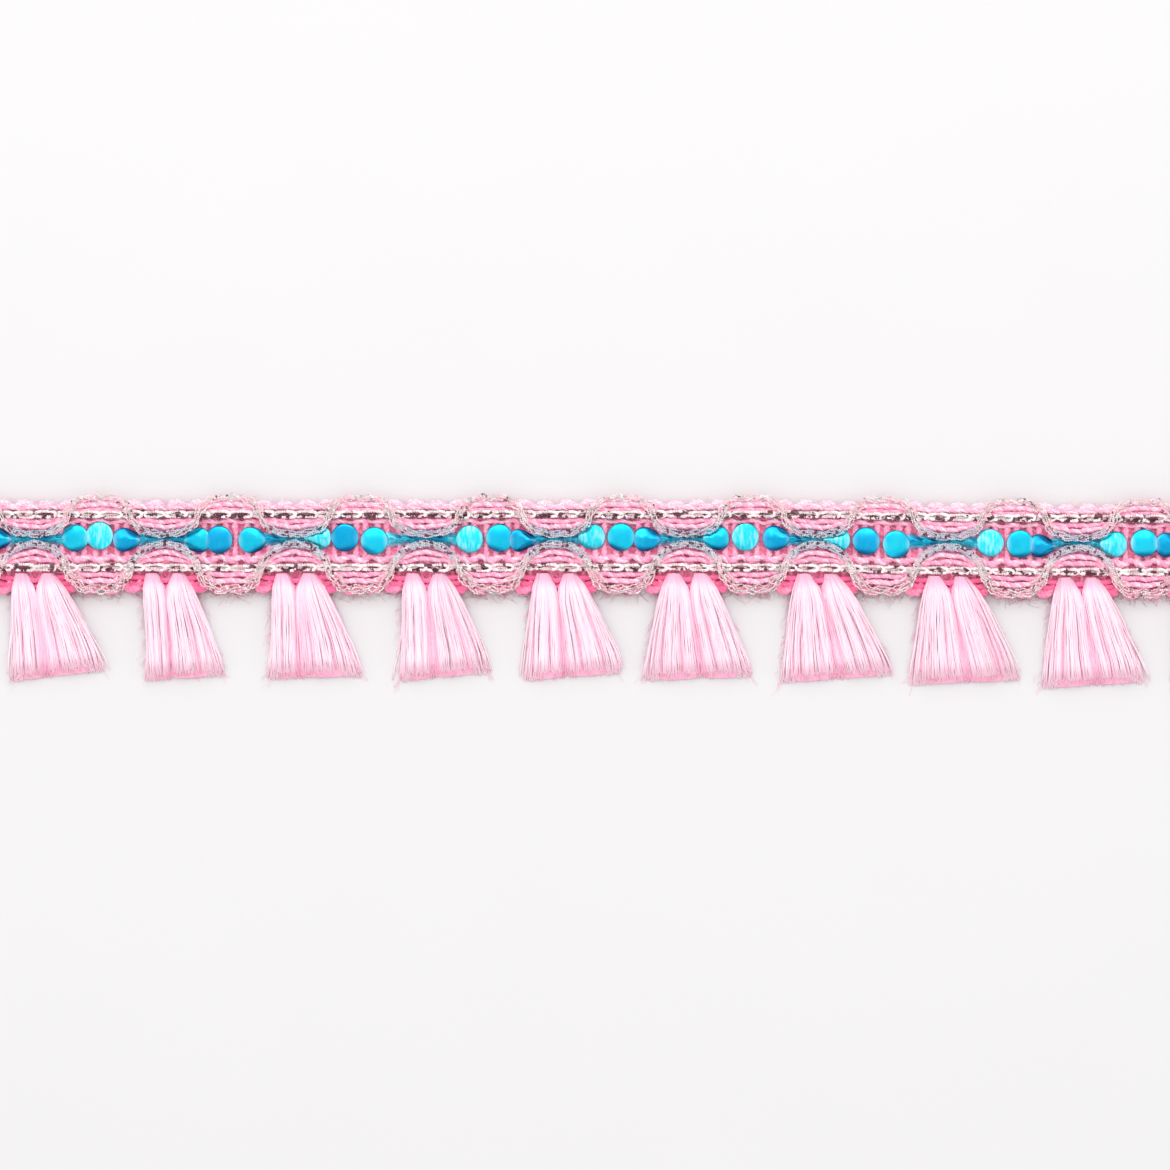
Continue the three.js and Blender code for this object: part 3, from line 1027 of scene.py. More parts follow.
class TRIM_OT_ground(bpy.types.Operator):
    """Thin knitted sheet under all the yarns, with its edges inside the loops"""

    bl_idname = "trim.ground"
    bl_label = "Ground Sheet"

    def execute(self, context):
        bm = bmesh.new()
        bmesh.ops.create_grid(bm, x_segments=SHEET_GRID[0], y_segments=SHEET_GRID[1], size=0.5)
        layer = bm.loops.layers.uv.new("UVMap")
        for vert in bm.verts:
            x = LEFT_END + LENGTH * (vert.co.x + 0.5)
            top = reach_at("upper", x) - SHEET_INSET
            bottom = -reach_at("lower", x) + SHEET_INSET
            y = bottom + (top - bottom) * (vert.co.y + 0.5)
            vert.co = (x, y, SHEET_HEIGHT + SHEET_RIB * stitch_wave(x))
        for face in bm.faces:
            face.smooth = True
            for loop in face.loops:
                loop[layer].uv = (loop.vert.co.x / MM, loop.vert.co.y / MM)
        mesh = mesh_from(bm, "ground_cloth")
        place_points(mesh, coordinates(mesh))
        piece = show("ground_cloth", mesh, "pink knit", ["heading_ground"])
        solid = piece.modifiers.new("Thickness", "SOLIDIFY")
        solid.thickness = SHEET_THICKNESS
        solid.offset = 1
        return {"FINISHED"}


def loop_paths(side, rng):
    """One path for each loop of the ground."""
    x = stitch_middles()
    table = mirrored(HALF_LOOP_KNOTS)
    spread = (STITCHES, len(table))
    reach = reach_at(side, x) * (1 + rng.uniform(-0.018, 0.018, STITCHES))
    knots = np.empty((*spread, 3))
    knots[..., 0] = x[:, None] + LOOP_HALF_WIDTH * table[:, 0] + rng.normal(0, 0.05 * MM, spread)
    knots[..., 1] = SIDES[side] * reach[:, None] * table[:, 1]
    knots[..., 2] = table[:, 2] * MM + rng.normal(0, 0.03 * MM, spread)
    return smooth_path(knots, LOOP_RINGS)


class TRIM_OT_loops(bpy.types.Operator):
    """Loops of plied pink yarn, one to a stitch on each side, from under the sequins out to the edge"""

    bl_idname = "trim.loops"
    bl_label = "Pink Loops"

    def execute(self, context):
        width = context.scene.trim_sizes.loop_yarn
        full = along_knots(mirrored(HALF_LOOP_KNOTS)[:, 3], LOOP_RINGS)
        head = np.clip(1.3 - np.abs(np.linspace(-1, 1, LOOP_RINGS)) * 2.2, 0, 1)
        for side, rng in both_sides("loops"):
            plies, radius = plied(loop_paths(side, rng), width, LOOP_TURN, rng, full)
            # Random tone, with a painted highlight on the heads of the upper loops and a little painted shade
            # on those of the lower ones.
            tone = rng.uniform(0.0, 0.4, (len(plies), 1)) + LOOP_HEAD_LIGHT_AND_SHADE[side] * head
            in_pinch = 1 - window_share(plies[:, 0, 0])
            # Painted shade: crimson on the heads of the lower loops in the pinches, in the shade of the
            # tassels and the silver shell.
            crimson_shade = 0.8 * head * in_pinch[:, None] * (side == "lower")
            mesh = tubes(plies, radius * full, 5, tone=np.clip(tone, 0, 1), layer=crimson_shade)
            show(f"{side}_loops", mesh, "pink yarn")
        return {"FINISHED"}


class TRIM_OT_bars(bpy.types.Operator):
    """Pink yarns that cross the loops in short waves, beside the sequins and along the upper edge"""

    bl_idname = "trim.bars"
    bl_label = "Crossing Yarns"

    def execute(self, context):
        x = np.linspace(LEFT_END, RIGHT_END, CROSSING_RINGS)
        wave = stitch_wave(x)
        in_window = window_share(x)
        full = 1 + 0.18 * wave[None]
        for number, (name, sign, *lengths, tone) in enumerate(CROSSING_YARNS):
            rng = random_numbers("crossing", number)
            away, further, amount, width, height, window_height = (value * MM for value in lengths)
            y = sign * (away + further * in_window + amount * wave)
            z = height + (window_height - height) * in_window + 0.12 * MM * wave
            path = join_xyz(x, y, z)[None]
            path[..., 1] += wander(arc_lengths(path), 7 * MM, 0.15 * MM, rng)
            plies, radius = plied(path, width, CROSSING_TURN, rng, full)
            mesh = tubes(plies, radius * full, 5, tone=np.array((tone + 0.65, tone + 0.3, tone)))
            show(name, mesh, "pink yarn")
        return {"FINISHED"}


def wave_knots(side):
    """The knots of the wave from end to end, in millimetres: distance along, distance from the chain row,
    height. Also the place of that row."""
    table = np.array(WAVE_KNOTS[side])
    chain = SIDES[side] * CHAIN_Y / MM
    rows = []
    for index in range(REPEATS + 1):
        middle = LEFT_END / MM + index * REPEAT / MM
        for offset, y, z in table[:0:-1]:
            rows.append((middle - offset, y - chain, z))
        for offset, y, z in table[:-1]:
            rows.append((middle + offset, y - chain, z))
    half = LENGTH / MM / 2 + 1e-6
    return np.array([row for row in rows if abs(row[0]) <= half]), chain


def evenly_spaced(knots, spacing):
    """One path through the knots with its points a fixed distance apart."""
    path = smooth_path(knots[None], FINE_POINTS * len(knots))
    arc = arc_lengths(path)[0]
    even = np.linspace(0, arc[-1], int(arc[-1] / spacing))
    return np.stack([np.interp(even, arc, path[0, :, axis]) for axis in range(3)], axis=1)


def silver_paths(side):
    """Silver strands side by side along one wave."""
    rows, chain = wave_knots(side)
    outer = SIDES[side]
    middle = evenly_spaced(join_xyz(rows[:, 0], chain + rows[:, 1], rows[:, 2]) * MM, SILVER_SPACING)
    tangent = unit(np.gradient(middle, axis=0))
    outwards = outer * unit(join_xyz(-tangent[:, 1], tangent[:, 0], 0.0))
    in_window = np.clip(outer * (middle[:, 1] - chain * MM) / (2.5 * MM), 0, 1)
    paths = []
    for pinch, window, lift in SILVER_LANES[side]:
        lane = (pinch + (window - pinch) * in_window) * MM
        path = middle + lane[:, None] * outwards
        path[:, 2] += lift * MM
        paths.append(path)
    return np.stack(paths)


def pink_paths(side):
    """Pink strands nested inside one wave."""
    rows, chain = wave_knots(side)
    outer = SIDES[side]
    paths = []
    for window, pinch, height in PINK_STRANDS[side]:
        share = np.where(outer * rows[:, 1] > 0, window, pinch)
        dip = 0.35 * np.clip(1 - np.abs(rows[:, 1]) / 1.2, 0, 1)
        knots = join_xyz(rows[:, 0], chain + rows[:, 1] * share, height - dip) * MM
        paths.append(evenly_spaced(knots, GIMP_SPACING))
    shortest = min(len(path) for path in paths)
    picked = [path[np.rint(np.linspace(0, len(path) - 1, shortest)).astype(int)] for path in paths]
    return np.stack(picked)


class TRIM_OT_gimp(bpy.types.Operator):
    """Pink gimp that waves inside the silver cords"""

    bl_idname = "trim.gimp"
    bl_label = "Pink Gimp"

    def execute(self, context):
        width = context.scene.trim_sizes.gimp_yarn
        for side, rng in both_sides("gimp"):
            paths = pink_paths(side)
            paths[..., 1] += wander(arc_lengths(paths), 4 * MM, 0.17 * MM, rng)
            plies, radius = plied(paths, width, GIMP_TURN, rng)
            mesh = tubes(plies, radius, 5, tone=np.array(GIMP_TONES))
            show(f"{side}_gimp", mesh, "pink yarn")
        return {"FINISHED"}


def tangled(paths, rng):
    """Silver strands with kinks, more of them outside the chain row, that end inside the strip."""
    arc = arc_lengths(paths)
    _, across, up = cross_directions(paths)
    outside = np.clip((np.abs(paths[..., 1]) - 4.5 * MM) / (1.5 * MM), 0, 1)
    sideways = wander(arc, 2.6 * MM, 0.2 * MM, rng) * (1 + 0.7 * outside)
    upwards = wander(arc, 1.7 * MM, 0.08 * MM, rng)
    paths = paths + sideways[..., None] * across + upwards[..., None] * up
    paths[..., 0] = np.clip(paths[..., 0], LEFT_END + 0.2 * MM, RIGHT_END - 0.2 * MM)
    return paths


class TRIM_OT_silver(bpy.types.Operator):
    """Kinky silver strands of the two wavy cords"""

    bl_idname = "trim.silver"
    bl_label = "Silver Cords"

    def execute(self, context):
        width = context.scene.trim_sizes.silver_strand
        for side, rng in both_sides("silver"):
            plies, radius = plied(tangled(silver_paths(side), rng), width, SILVER_TURN, rng, plies=2)
            near_sequins = np.clip((3.2 * MM - np.abs(plies[..., 1])) / (1.6 * MM), 0, 1)
            # Painted reflection: near the sequins the silver takes on their blue, and it gets a few more dark
            # flecks.
            blue = near_sequins * rng.uniform(0.1, 0.9, (len(plies), 1))
            mesh = tubes(plies, radius, 4, SILVER_FACETS, tone=blue, layer=0.13 * near_sequins)
            show(f"{side}_silver", mesh, "silver strand", [f"silver_cord_{side}"])
        return {"FINISHED"}


def stitch_paths(side, rng):
    """One path for each chain stitch of a row."""
    table = np.array(STITCH_KNOTS)
    each = (STITCHES, 1)
    x = stitch_middles() + rng.normal(0, 0.1 * MM, STITCHES)
    x[-1] = min(x[-1], RIGHT_END - STITCH_HALF)
    y = CHAIN_ROWS[side] + rng.normal(0, 0.05 * MM, STITCHES)
    knots = np.empty((STITCHES, len(table), 3))
    knots[..., 0] = x[:, None] + table[:, 0] * MM * rng.uniform(0.95, 1.05, each)
    knots[..., 1] = y[:, None] + table[:, 1] * MM * rng.uniform(0.85, 1.15, each)
    knots[..., 2] = CHAIN_BOTTOM + table[:, 2] * MM + rng.normal(0, 0.04 * MM, each)
    knots[..., 0] = np.clip(knots[..., 0], LEFT_END, RIGHT_END)
    return smooth_path(knots, STITCH_RINGS)


class TRIM_OT_chains(bpy.types.Operator):
    """Two rows of chain stitch, each stitch a teardrop that comes up through the last one"""

    bl_idname = "trim.chains"
    bl_label = "Chain Rows"

    def execute(self, context):
        width = context.scene.trim_sizes.chain_thread
        dark = along_knots(np.array(STITCH_KNOTS)[:, 3], STITCH_RINGS)
        for side, rng in both_sides("chains"):
            plies, radius = plied(stitch_paths(side, rng), width, CHAIN_TURN, rng)
            # Painted shade: dark flecks on the lower side and the tails of each stitch.
            layer = np.broadcast_to(dark * CHAIN_PAINTED_SHADE[side], plies.shape[:2])
            mesh = tubes(plies, radius, 4, CHAIN_FACETS, layer=layer)
            show(f"{side}_chain", mesh, "chain thread", [f"chain_{side}"])
        return {"FINISHED"}


class TRIM_OT_core(bpy.types.Operator):
    """A cord under the chain stitches whose dark flecks are painted shade, seen through the holes of the
    stitches
    """

    bl_idname = "trim.core"
    bl_label = "Chain Cores"

    def execute(self, context):
        x = np.linspace(LEFT_END, RIGHT_END, CORE_RINGS)
        offset = np.full((1, CORE_RINGS), CORE_OFFSET)
        for side, rng in both_sides("core"):
            path = join_xyz(x, CHAIN_ROWS[side] + CORE_SIDEWAYS, CHAIN_BOTTOM + CORE_HEIGHT)[None]
            plies = twisted(path, 2, offset, CORE_TURN, rng)
            mesh = tubes(plies, CORE_RADIUS, 5, layer=np.full(2, CORE_PAINTED_SHADE * CHAIN_PAINTED_SHADE[side]))
            show(f"{side}_core", mesh, "chain thread")
        return {"FINISHED"}


def disc():
    """A sequin of radius one: a thin round film, a little domed, with its rim bent down."""
    bm = bmesh.new()
    bmesh.ops.create_circle(bm, cap_ends=True, segments=DISC_SEGMENTS, radius=1)
    for step in DISC_RINGS:
        centre = max(bm.faces, key=lambda face: len(face.verts))
        bmesh.ops.inset_individual(bm, faces=[centre], thickness=step)
    for vert in bm.verts:
        reach = vert.co.xy.length
        vert.co.z = DISC_DOME * max(0, 1 - reach**2) - (0.05 if reach > 0.97 else 0)
    bmesh.ops.solidify(bm, geom=bm.faces[:], thickness=DISC_THICKNESS)
    bmesh.ops.recalc_face_normals(bm, faces=bm.faces)
    for face in bm.faces:
        face.smooth = True
    return mesh_from(bm, "disc")


def flat_sequins(window, window_sequins, rng):
    """The sequins that lie in one window, one row each, pinched a little where they near its ends."""
    rows = []
    for place, (offset, y, name) in enumerate(window_sequins):
        left = np.interp(offset, (-7, -4.5, -3.5), (0.55, 0.85, 1.0))
        right = np.interp(offset, (3, 4, 5), (1.0, 0.7, 0.5))
        tone = TONE_VALUE[name] + rng.uniform(-0.08, 0.08)
        turn_x = rng.normal(0, 4)
        turn_y = rng.normal(0, 3)
        height = (1.75 + 0.08 * place) * MM
        # Painted shade where a sequin is pinched.
        dark = 0.25 * (2 - left - right)
        x = window + offset * MM
        rows.append((x, y * MM, height, turn_x, turn_y, left, right, tone, dark, 0))
    return rows


def crumpled_sequins(window, first, last, rng):
    """The sequins that are folded up in the pinch after a window, one row each."""
    pinch = REPEAT / MM / 2
    rows = []
    for offset in np.linspace(first, last, max(2, math.ceil((last - first) / CRUMPLED_SPACING) + 1)):
        from_pinch = np.abs((offset - 2 - pinch, offset + 2 - pinch))
        left, right = np.interp(from_pinch, (1, 5), (0.3, 0.66))
        height = (1.55 + rng.uniform(-0.1, 0.1)) * MM
        tone = rng.uniform(0, 0.6)
        dark = rng.uniform(0, 0.1)
        rows.append((window + offset * MM, CRUMPLED_Y * MM, height, 0, 0, left, right, tone, dark, 1))
    return rows


def sequin_table(radius, rng):
    """The columns of all sequins by name, without those that the ends of the strip would cut."""
    rows = []
    for index, window_sequins in enumerate(WINDOW_SEQUINS):
        window = LEFT_END + REPEAT * index
        rows += flat_sequins(window, window_sequins, rng)
        following = WINDOW_SEQUINS[min(index + 1, REPEATS)]
        first = window_sequins[2][0] + CRUMPLED_START
        last = following[0][0] + REPEAT / MM - CRUMPLED_END
        rows += crumpled_sequins(window, first, last, rng)
    kept = np.array([row for row in rows if abs(row[0]) <= LENGTH / 2 - radius])
    return {name: kept[:, index, None] for index, name in enumerate(SEQUIN_COLUMNS)}


def sequin_places(table, local, squeeze, radius):
    """Where the points of every sequin go: squeezed across the strip, folded, tilted and rippled."""
    u = local[..., 0] * radius
    whole_v = local[..., 1] * radius
    v = whole_v * squeeze
    fold = np.sqrt(1 - squeeze**2) * np.abs(whole_v) * 0.35
    w = local[..., 2] * radius - fold
    ripple = (1 - squeeze) * 0.18 * MM * np.sin(u / (0.5 * MM) + whole_v / (0.8 * MM))
    turn_x, turn_y = np.radians(table["turn_x"]), np.radians(table["turn_y"])
    x = table["x"] + u * np.cos(turn_y)
    y = table["y"] + v * np.cos(turn_x)
    z = table["height"] + w * np.cos(turn_x) + v * np.sin(turn_x) + ripple + u * np.sin(turn_y)
    return join_xyz(x, y, z).reshape(-1, 3)


def sequin_shades(table, across, up, squeeze, rng):
    """How much painted shade each point of every sequin gets, and how much painted highlight its rim gets.
    Flat ones have a dark crescent below and a dark fold where they are squeezed, crumpled ones a dark crease
    along the middle, all of them painted shade."""
    each = table["x"].shape
    crumpled = table["crumpled"]
    lean = rng.uniform(-0.5, 0.5, each)
    below = lean * across - np.sqrt(1 - lean**2) * up
    depth = np.clip(0.4 + 1.2 * table["tone"], 0, 1) * rng.uniform(0.75, 1, each)
    crescent = np.clip((below - 0.5) / 0.3, 0, 1) ** 1.5 * depth
    folded = np.clip(2.4 * (1 - squeeze), 0, 1) * np.clip(2.5 * up - 0.4, 0, 0.9)
    crease = 0.6 * np.clip(1.3 - np.abs(up - 0.1) / 0.3, 0, 1)
    shade = np.clip(table["dark"] + np.where(crumpled, crease, crescent + folded), 0, 1)
    beside = np.clip((np.abs(np.where(crumpled, 1.4 * up, across)) - 0.72) / 0.25, 0, 1)
    bright = np.where(crumpled, rng.uniform(0.4, 0.9, each), rng.uniform(0.2, 0.7, each))
    return shade, beside * bright * (1 - shade)


class TRIM_OT_sequins(bpy.types.Operator):
    """Sequins in a row, flat in the windows and crumpled in the pinches"""

    bl_idname = "trim.sequins"
    bl_label = "Sequins"

    def execute(self, context):
        radius = context.scene.trim_sizes.sequin_radius
        rng = random_numbers("sequins")
        table = sequin_table(radius, rng)
        count = len(table["x"])
        mesh = repeated(disc(), count)
        local = coordinates(mesh).reshape(count, -1, 3)
        across, up = local[..., 0], local[..., 1]
        from_left = smooth_step(across, -1, 1)
        squeeze = np.minimum(table["left"] + (table["right"] - table["left"]) * from_left, 1)
        place_points(mesh, sequin_places(table, local, squeeze, radius))
        shade, rim = sequin_shades(table, across, up, squeeze, rng)
        store(mesh, np.broadcast_to(table["tone"], across.shape), shade, rim)
        show("sequins", mesh, "sequin film", ["sequin_strip"])
        return {"FINISHED"}


def bunch_sides(row, side, along):
    """The left and right side of a bunch from the middle of its tassel, at shares of its length."""
    left, divide, right = (value * MM for value in row[:3])
    fan = 1 - (1 - along) ** 1.25
    gap = np.interp(along, DIVIDE_PLACES, DIVIDE_GAPS)
    if side == "left":
        return -ROOT_HALF + (left + LEFT_MARGIN + ROOT_HALF) * fan, divide * along - gap
    return divide * along + gap, ROOT_HALF + (right - RIGHT_MARGIN - ROOT_HALF) * fan


def bunch_sections(along):
    """Height of the underside, thickness and fullness of a bunch at shares of its length."""
    table = np.array(BUNCH_SECTIONS)
    rest, thick, full = (np.interp(along, table[:, 0], table[:, column]) for column in (1, 2, 3))
    return rest * MM, thick * MM, full


def cut_line(row, x):
    """How far down a tassel is cut at x from its middle."""
    left, _, right, left_end, right_end = (value * MM for value in row)
    return left_end + (right_end - left_end) * np.clip((x - left) / (right - left), 0, 1)


def soft_core(row, middle, side):
    """A soft body inside a bunch that fills the spaces between its yarns and shows as their cut face."""
    mesh = repeated(drum(SOFT_CORE_SIDES, SOFT_CORE_RINGS), 1)
    template = coordinates(mesh)
    across, up = template[:, 0], template[:, 1]
    along = template[:, 2] / (SOFT_CORE_RINGS - 1)
    left, right = bunch_sides(row, side, along)
    rest, thick, full = bunch_sections(along)
    taper = np.interp(along, (0, 0.06, 0.86, 1), (0.5, 1, 1, 0.15))
    width = np.interp(along, (0, 0.06, 0.9, 1), (0.7, 0.94, 0.97, 0.93)) * full
    share = 0.5 + 0.5 * across * width
    # The body ends short of the outer side, where only loose yarns lie.
    narrow = 1 - 0.08 * along
    share = 1 - (1 - share) * narrow if side == "left" else share * narrow
    x = left + (right - left) * share
    rounded_corner = 0.7 * MM * np.abs(across) ** 5
    y = BUNCH_TOP + (cut_line(row, x) + 0.2 * MM + rounded_corner - BUNCH_TOP) * along
    crown = np.sign(up) * np.abs(up) ** 0.6
    z = rest + 0.03 * MM + SOFT_CORE_HEIGHT * thick * taper * (0.5 + 0.5 * crown)
    place_points(mesh, join_xyz(middle + x, y, z))
    store(mesh, np.full(len(x), 0.75), along, np.full(len(x), 0.4))
    return mesh


def yarn_layers(loose_side, rng):
    """How high each yarn lies in its bunch. More of them lie low at the outer side."""
    count = len(loose_side)
    low_share = 0.3 + 0.5 * (loose_side > 0)
    lies_high = rng.uniform(0, 1, count) > low_share
    return np.where(lies_high, rng.uniform(0.62, 0.9, count), rng.uniform(0, 0.6, count))


def nearest_locks(across, rng):
    """For each yarn the middle of its lock, and how far out in that lock it lies, from 0 to 1."""
    locks = np.sort([rng.uniform(*part) for part in LOCK_PLACES])
    borders = np.array([0, (locks[0] + locks[1]) / 2, (locks[1] + locks[2]) / 2, 1])
    which = np.clip(np.searchsorted(borders, across) - 1, 0, 2)
    half_lock = (borders[which + 1] - borders[which]) / 2
    return locks[which], np.clip(np.abs(across - locks[which]) / half_lock, 0, 1)


def roundness(t, across, in_lock, loose_side):
    """The height of each yarn for a height of one in the middle of the bunch: round at the roots, then
    round in each lock and low at the outer side."""
    root = np.sqrt(np.clip(1 - (2 * across - 1) ** 2, 0, 1))[:, None]
    lock = (1 - 0.2 * in_lock**2 - 0.2 * (2 * across - 1) ** 6 - 0.4 * loose_side**2)[:, None]
    return root + (lock - root) * np.interp(t, (0, 0.35, 1), (0, 1, 1))


def bunch_paths(row, middle, side, count, rng):
    """Paths of the yarns of one bunch, with each yarn's tone and its layer from bottom to top."""
    t = np.linspace(0, 1, BUNCH_RINGS)
    rest, thick, full = bunch_sections(t)
    across = rng.uniform(0, 1, count)
    inner = across if side == "left" else 1 - across
    loose_side = np.clip((OUTER_SHARE - inner) / OUTER_SHARE, 0, 1)
    up = yarn_layers(loose_side, rng)
    lock, in_lock = nearest_locks(across, rng)
    clump = np.interp(t, (0, 0.15, 0.55, 1), (0.0, 0.06, 0.24, 0.16)) * rng.uniform(0.2, 1.1, (count, 1))
    place = 0.5 + (across[:, None] + (lock - across)[:, None] * clump - 0.5) * full
    left_line, right_line = bunch_sides(row, side, t)
    x = left_line + (right_line - left_line) * place
    cut = cut_line(row, x[:, -1]) + CUT_SLANT * up + rng.normal(0, 0.09 * MM, count)
    start = BUNCH_TOP + rng.uniform(-0.15, 0.15, count) * MM
    y = start[:, None] + (cut - start)[:, None] * t
    stray = (rng.uniform(0, 1, count) < 0.5) * (inner < 0.16) * rng.exponential(0.35 * MM, count)
    outwards = -stray if side == "left" else stray
    arc = np.tile(t * YARN_LENGTH, (count, 1))
    loose = np.clip(t / 0.3, 0, 1)
    x = x + wander(arc, 13 * MM, 0.15 * MM, rng) * loose + outwards[:, None] * t**1.5
    widening = np.interp(t, (0, 0.3, 0.8), (0.2, 0.6, 1))
    near_divide = np.clip((inner - 0.76) / 0.16, 0, 1)[:, None] * widening
    # The material paints the lower layers deeper, as shade.
    layer = up[:, None] * (1 - 0.3 * near_divide)
    height = thick * layer * roundness(t, across, in_lock, loose_side)
    z = np.maximum(rest + height + wander(arc, 10 * MM, 0.08 * MM, rng) * loose, 0.12 * MM)
    # Painted shade: a deeper tone at the sides of each lock and near the divide between the bunches, on a
    # little random tone.
    tone = rng.uniform(0, 0.12, (count, 1)) + 0.6 * in_lock[:, None] ** 1.6 + 0.9 * near_divide
    # The loose yarns of the outer side are pale however low they lie: they get less of the painted shade.
    outer = (loose_side > 0)[:, None]
    tone = np.clip(tone, 0, 1) * np.where(outer, 0.5, 1)
    return join_xyz(middle + x, y, z), tone, np.where(outer, 0.8, layer)


class TRIM_OT_tassels(bpy.types.Operator):
    """Ten tassels, each of two bunches of cut yarn that fan out and lie on the table"""

    bl_idname = "trim.tassels"
    bl_label = "Tassels"

    def execute(self, context):
        sizes = context.scene.trim_sizes
        for index, row in enumerate(TASSEL_ROWS):
            middle = tassel_middle(index)
            for number, side in enumerate(("left", "right")):
                bunch = f"{index + 1:02d}_{side}"
                rng = random_numbers("tassels", 2 * index + number)
                paths, tone, layer = bunch_paths(row, middle, side, sizes.tassel_strands, rng)
                radius = sizes.tassel_strand / 2 * rng.uniform(0.75, 1.25, (len(paths), 1))
                mesh = tubes(paths, radius, 4, tone=tone, layer=layer)
                show(f"yarns_{bunch}", mesh, "tassel yarn", [f"tassel_{bunch}"])
                show(f"core_{bunch}", soft_core(row, middle, side), "tassel core")
        return {"FINISHED"}


class TRIM_OT_roots(bpy.types.Operator):
    """Yarns that hold the roots of the tassels, crimson as painted shade between the roots"""

    bl_idname = "trim.roots"
    bl_label = "Tassel Roots"

    def execute(self, context):
        width = context.scene.trim_sizes.gimp_yarn
        rng = random_numbers("roots")
        yarns = np.stack([mirrored(half) for half in HALF_ROOT_KNOTS])
        knots = yarns[None] * MM + rng.normal(0, 0.06 * MM, (REPEATS, *yarns.shape))
        knots[..., 0] += tassel_middle(np.arange(REPEATS))[:, None, None]
        paths = smooth_path(knots.reshape(-1, *yarns.shape[1:]), ROOT_RINGS)
        plies, radius = plied(paths, width, ROOT_TURN, rng)
        # The layer number paints these yarns crimson, as shade between the roots.
        layer = rng.uniform(0.75, 1, len(plies))
        show("tassel_roots", tubes(plies, radius, 5, layer=layer), "pink yarn")
        return {"FINISHED"}


def edge_of(side, x):
    """How far the edge of the braid is from the middle line at x."""
    return np.interp(from_window(x) / MM, EDGE_PLACES, EDGE_REACH[side]) * MM


def along_strip(count, rng):
    """Random places along the strip, clear of its ends."""
    return rng.uniform(LEFT_END + HAIRLESS_END, RIGHT_END - HAIRLESS_END, count)


def hairs(start, lean, lengths, rng, tone=(0.2, 0.9), radius=0.02):
    """Short curled hairs from each start, as one mesh. Lengths and radius are in millimetres."""
    count = len(start)
    length = rng.uniform(*lengths, (count, 1)) * MM
    curl = rng.normal(0, 0.35, (count, 3)) * length
    middle = start + lean * length / 2 + curl / 2
    end = start + lean * length
    for points in (middle, end):
        points[:, 2] = np.maximum(points[:, 2], max(LOWEST_HAIR, radius) * MM)
    paths = np.stack([start, middle, end], axis=1)
    return tubes(paths, radius * MM, 3, tone=rng.uniform(*tone, count))


def edge_hairs(side, count, rng):
    """Hairs that stand off one edge of the braid."""
    sign = SIDES[side]
    x = along_strip(count, rng)
    y = sign * (edge_of(side, x) - rng.uniform(0.1, 1.3, count) * MM)
    start = join_xyz(x, y, rng.uniform(0.8, 2.0, count) * MM)
    across = rng.normal(0, 0.7, count)
    away = sign * rng.uniform(0.4, 1, count)
    lean = join_xyz(across, away, rng.normal(0, 0.3, count))
    return hairs(start, lean, (0.3, 0.9), rng, radius=0.015)


def top_hairs(count, rng):
    """Hairs that lie on the yarns of the braid."""
    x = along_strip(count, rng)
    y = rng.uniform(3.2, 6.6, count) * rng.choice((-1, 1), count) * MM
    start = join_xyz(x, y, rng.uniform(1.5, 2.3, count) * MM)
    lean = join_xyz(rng.normal(0, 1, count), rng.normal(0, 0.5, count), rng.uniform(0, 0.4, count))
    return hairs(start, lean, (0.4, 1.1), rng)


def low_hairs(count, rng):
    """A thin haze of fibres close to the table, along the lower edge."""
    x = along_strip(count, rng)
    y = -edge_of("lower", x) + rng.uniform(-0.7, 0.5, count) * MM
    start = join_xyz(x, y, rng.uniform(0.1, 0.4, count) * MM)
    lean = join_xyz(rng.normal(0, 0.8, count), -rng.uniform(0, 1, count), -0.1)
    return hairs(start, lean, (0.6, 1.8), rng)


def tassel_hair_starts(index, row, rng):
    """Starts and leans of the hairs on the two outer sides and the cut end of one tassel."""
    count = TASSEL_HAIRS
    along = rng.uniform(0.1, 1, count)
    left, _ = bunch_sides(row, "left", along)
    _, right = bunch_sides(row, "right", along)
    side = rng.choice((-1, 1), count)
    at_end = rng.uniform(0, 1, count) < 0.2
    x = np.where(side < 0, left, right) - side * rng.uniform(-0.4, 0.4, count) * MM
    x = np.where(at_end, left + (right - left) * rng.uniform(0, 1, count), x)
    y = BUNCH_TOP + (cut_line(row, x) - BUNCH_TOP) * np.where(at_end, 0.95, along)
    start = join_xyz(tassel_middle(index) + x, y, rng.uniform(0.1, 0.6, count) * MM)
    sideways = np.where(at_end, rng.normal(0, 0.4, count), side * rng.uniform(0.15, 0.7, count))
    lean = join_xyz(sideways, -rng.uniform(0.5, 1, count), rng.normal(-0.05, 0.05, count))
    return start, lean * np.where(at_end, 0.5, 1)[:, None]


def tassel_hairs(rng):
    """Hairs on all tassels."""
    starts, leans = zip(*(tassel_hair_starts(index, row, rng) for index, row in enumerate(TASSEL_ROWS)))
    return hairs(np.concatenate(starts), np.concatenate(leans), (0.8, 2.2), rng)


def frayed_ends(rng):
    """Short ends of yarn where the strip was cut."""
    count = FRAYED_ENDS
    sign = rng.choice((-1, 1), count)
    x = sign * (LENGTH / 2 - 0.5 * MM)
    y = rng.uniform(-6.8, 5.6, count) * MM
    start = join_xyz(x, y, rng.uniform(0.2, 1.1, count) * MM)
    outwards = sign * rng.uniform(0.8, 1, count)
    lean = join_xyz(outwards, rng.normal(0, 0.3, count), rng.normal(0, 0.1, count))
    return hairs(start, lean, (0.6, 1.5), rng, tone=(0.0, 0.8), radius=0.14)


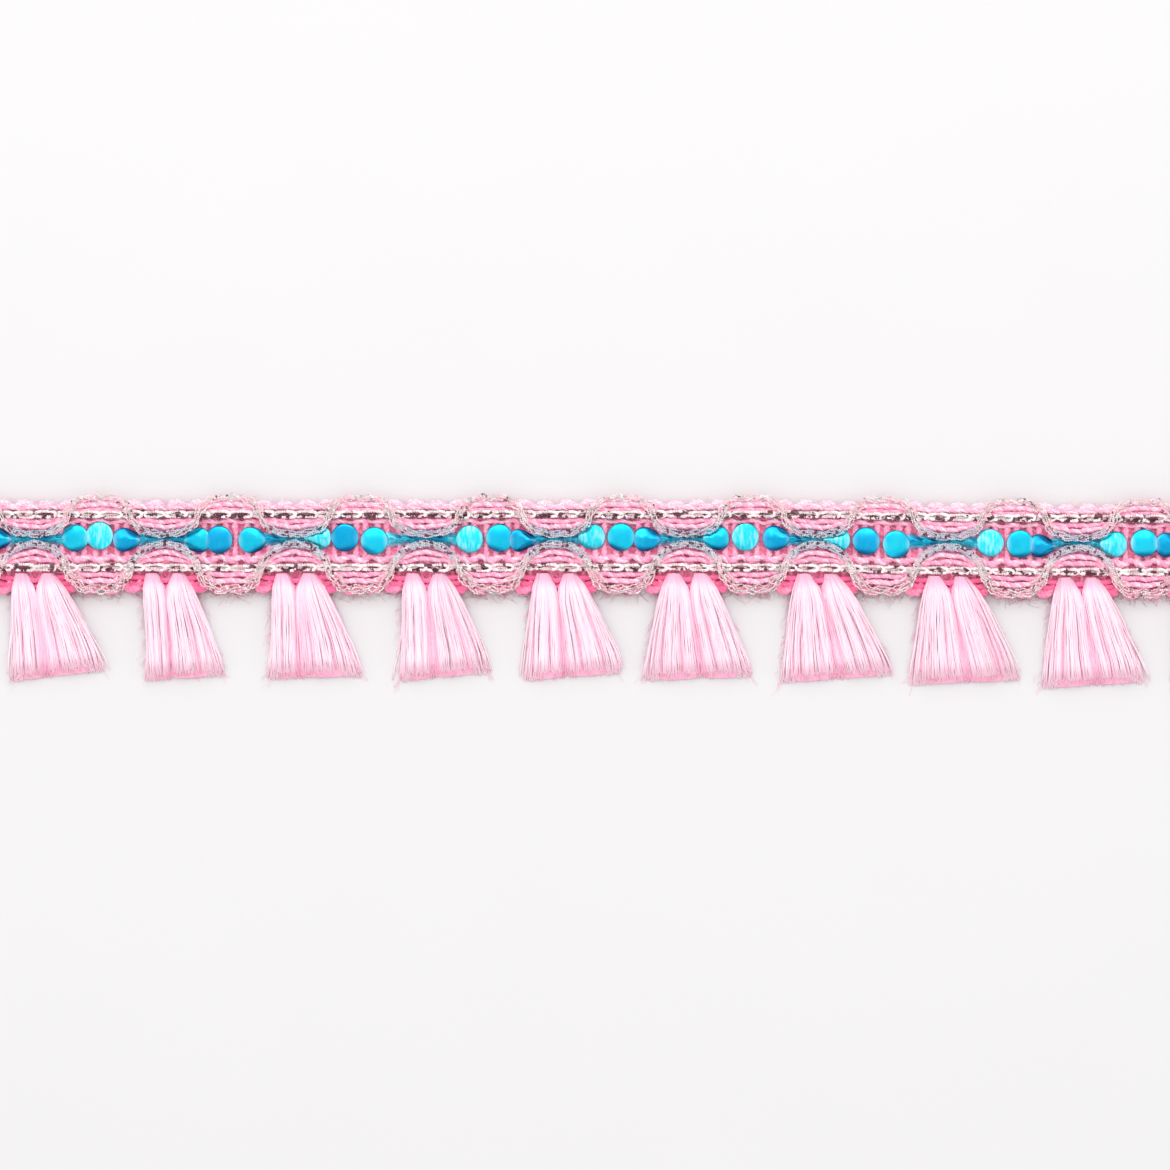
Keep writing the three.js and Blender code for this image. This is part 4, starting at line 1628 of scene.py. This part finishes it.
class TRIM_OT_fuzz(bpy.types.Operator):
    """Fine hairs on the braid, its edges and the tassels, and short ends at the two cuts"""

    bl_idname = "trim.fuzz"
    bl_label = "Fuzz"

    def execute(self, context):
        count = context.scene.trim_sizes.hairs
        for side, rng in both_sides("edge hairs"):
            show(f"{side}_fuzz", edge_hairs(side, count, rng), "pink yarn")
        show("top_fuzz", top_hairs(count, random_numbers("top hairs")), "pink yarn")
        show("low_fuzz", low_hairs(2 * count, random_numbers("low hairs")), "pink yarn")
        show("tassel_fuzz", tassel_hairs(random_numbers("tassel hairs")), "tassel yarn")
        show("frayed_ends", frayed_ends(random_numbers("frayed ends")), "pink yarn")
        return {"FINISHED"}


class TRIM_OT_declare(bpy.types.Operator):
    """Works out the mean width of the ground sheet, which nothing then uses"""

    bl_idname = "trim.declare"
    bl_label = "Declare Cloth"

    def execute(self, context):
        x = np.linspace(LEFT_END, RIGHT_END, 401)
        width = float(np.mean(reach_at("upper", x) + reach_at("lower", x))) - 2 * SHEET_INSET
        return {"FINISHED"}


class TRIM_PT_panel(bpy.types.Panel):
    """Lists the steps that build the strip"""

    bl_label = "Tassel Trim"
    bl_idname = "TRIM_PT_panel"
    bl_space_type = "VIEW_3D"
    bl_region_type = "UI"
    bl_category = "Trim"

    def draw(self, context):
        for operator in OPERATORS:
            self.layout.operator(operator.bl_idname)
        for group in (context.scene.trim_sizes, context.scene.trim_colours):
            box = self.layout.box()
            for name in group.__annotations__:
                box.prop(group, name)


OPERATORS = (
    TRIM_OT_camera,
    TRIM_OT_stage,
    TRIM_OT_materials,
    TRIM_OT_ground,
    TRIM_OT_loops,
    TRIM_OT_bars,
    TRIM_OT_gimp,
    TRIM_OT_chains,
    TRIM_OT_core,
    TRIM_OT_silver,
    TRIM_OT_sequins,
    TRIM_OT_tassels,
    TRIM_OT_roots,
    TRIM_OT_fuzz,
    TRIM_OT_declare,
)
CLASSES = (TrimSizes, TrimColours, *OPERATORS, TRIM_PT_panel)


def register():
    for cls in CLASSES:
        bpy.utils.register_class(cls)
    bpy.types.Scene.trim_sizes = bpy.props.PointerProperty(type=TrimSizes)
    bpy.types.Scene.trim_colours = bpy.props.PointerProperty(type=TrimColours)


def unregister():
    del bpy.types.Scene.trim_colours
    del bpy.types.Scene.trim_sizes
    for cls in reversed(CLASSES):
        bpy.utils.unregister_class(cls)


def main():
    register()
    for operator in OPERATORS:
        getattr(bpy.ops.trim, operator.bl_idname.split(".")[1])()


if __name__ == "__main__":
    main()
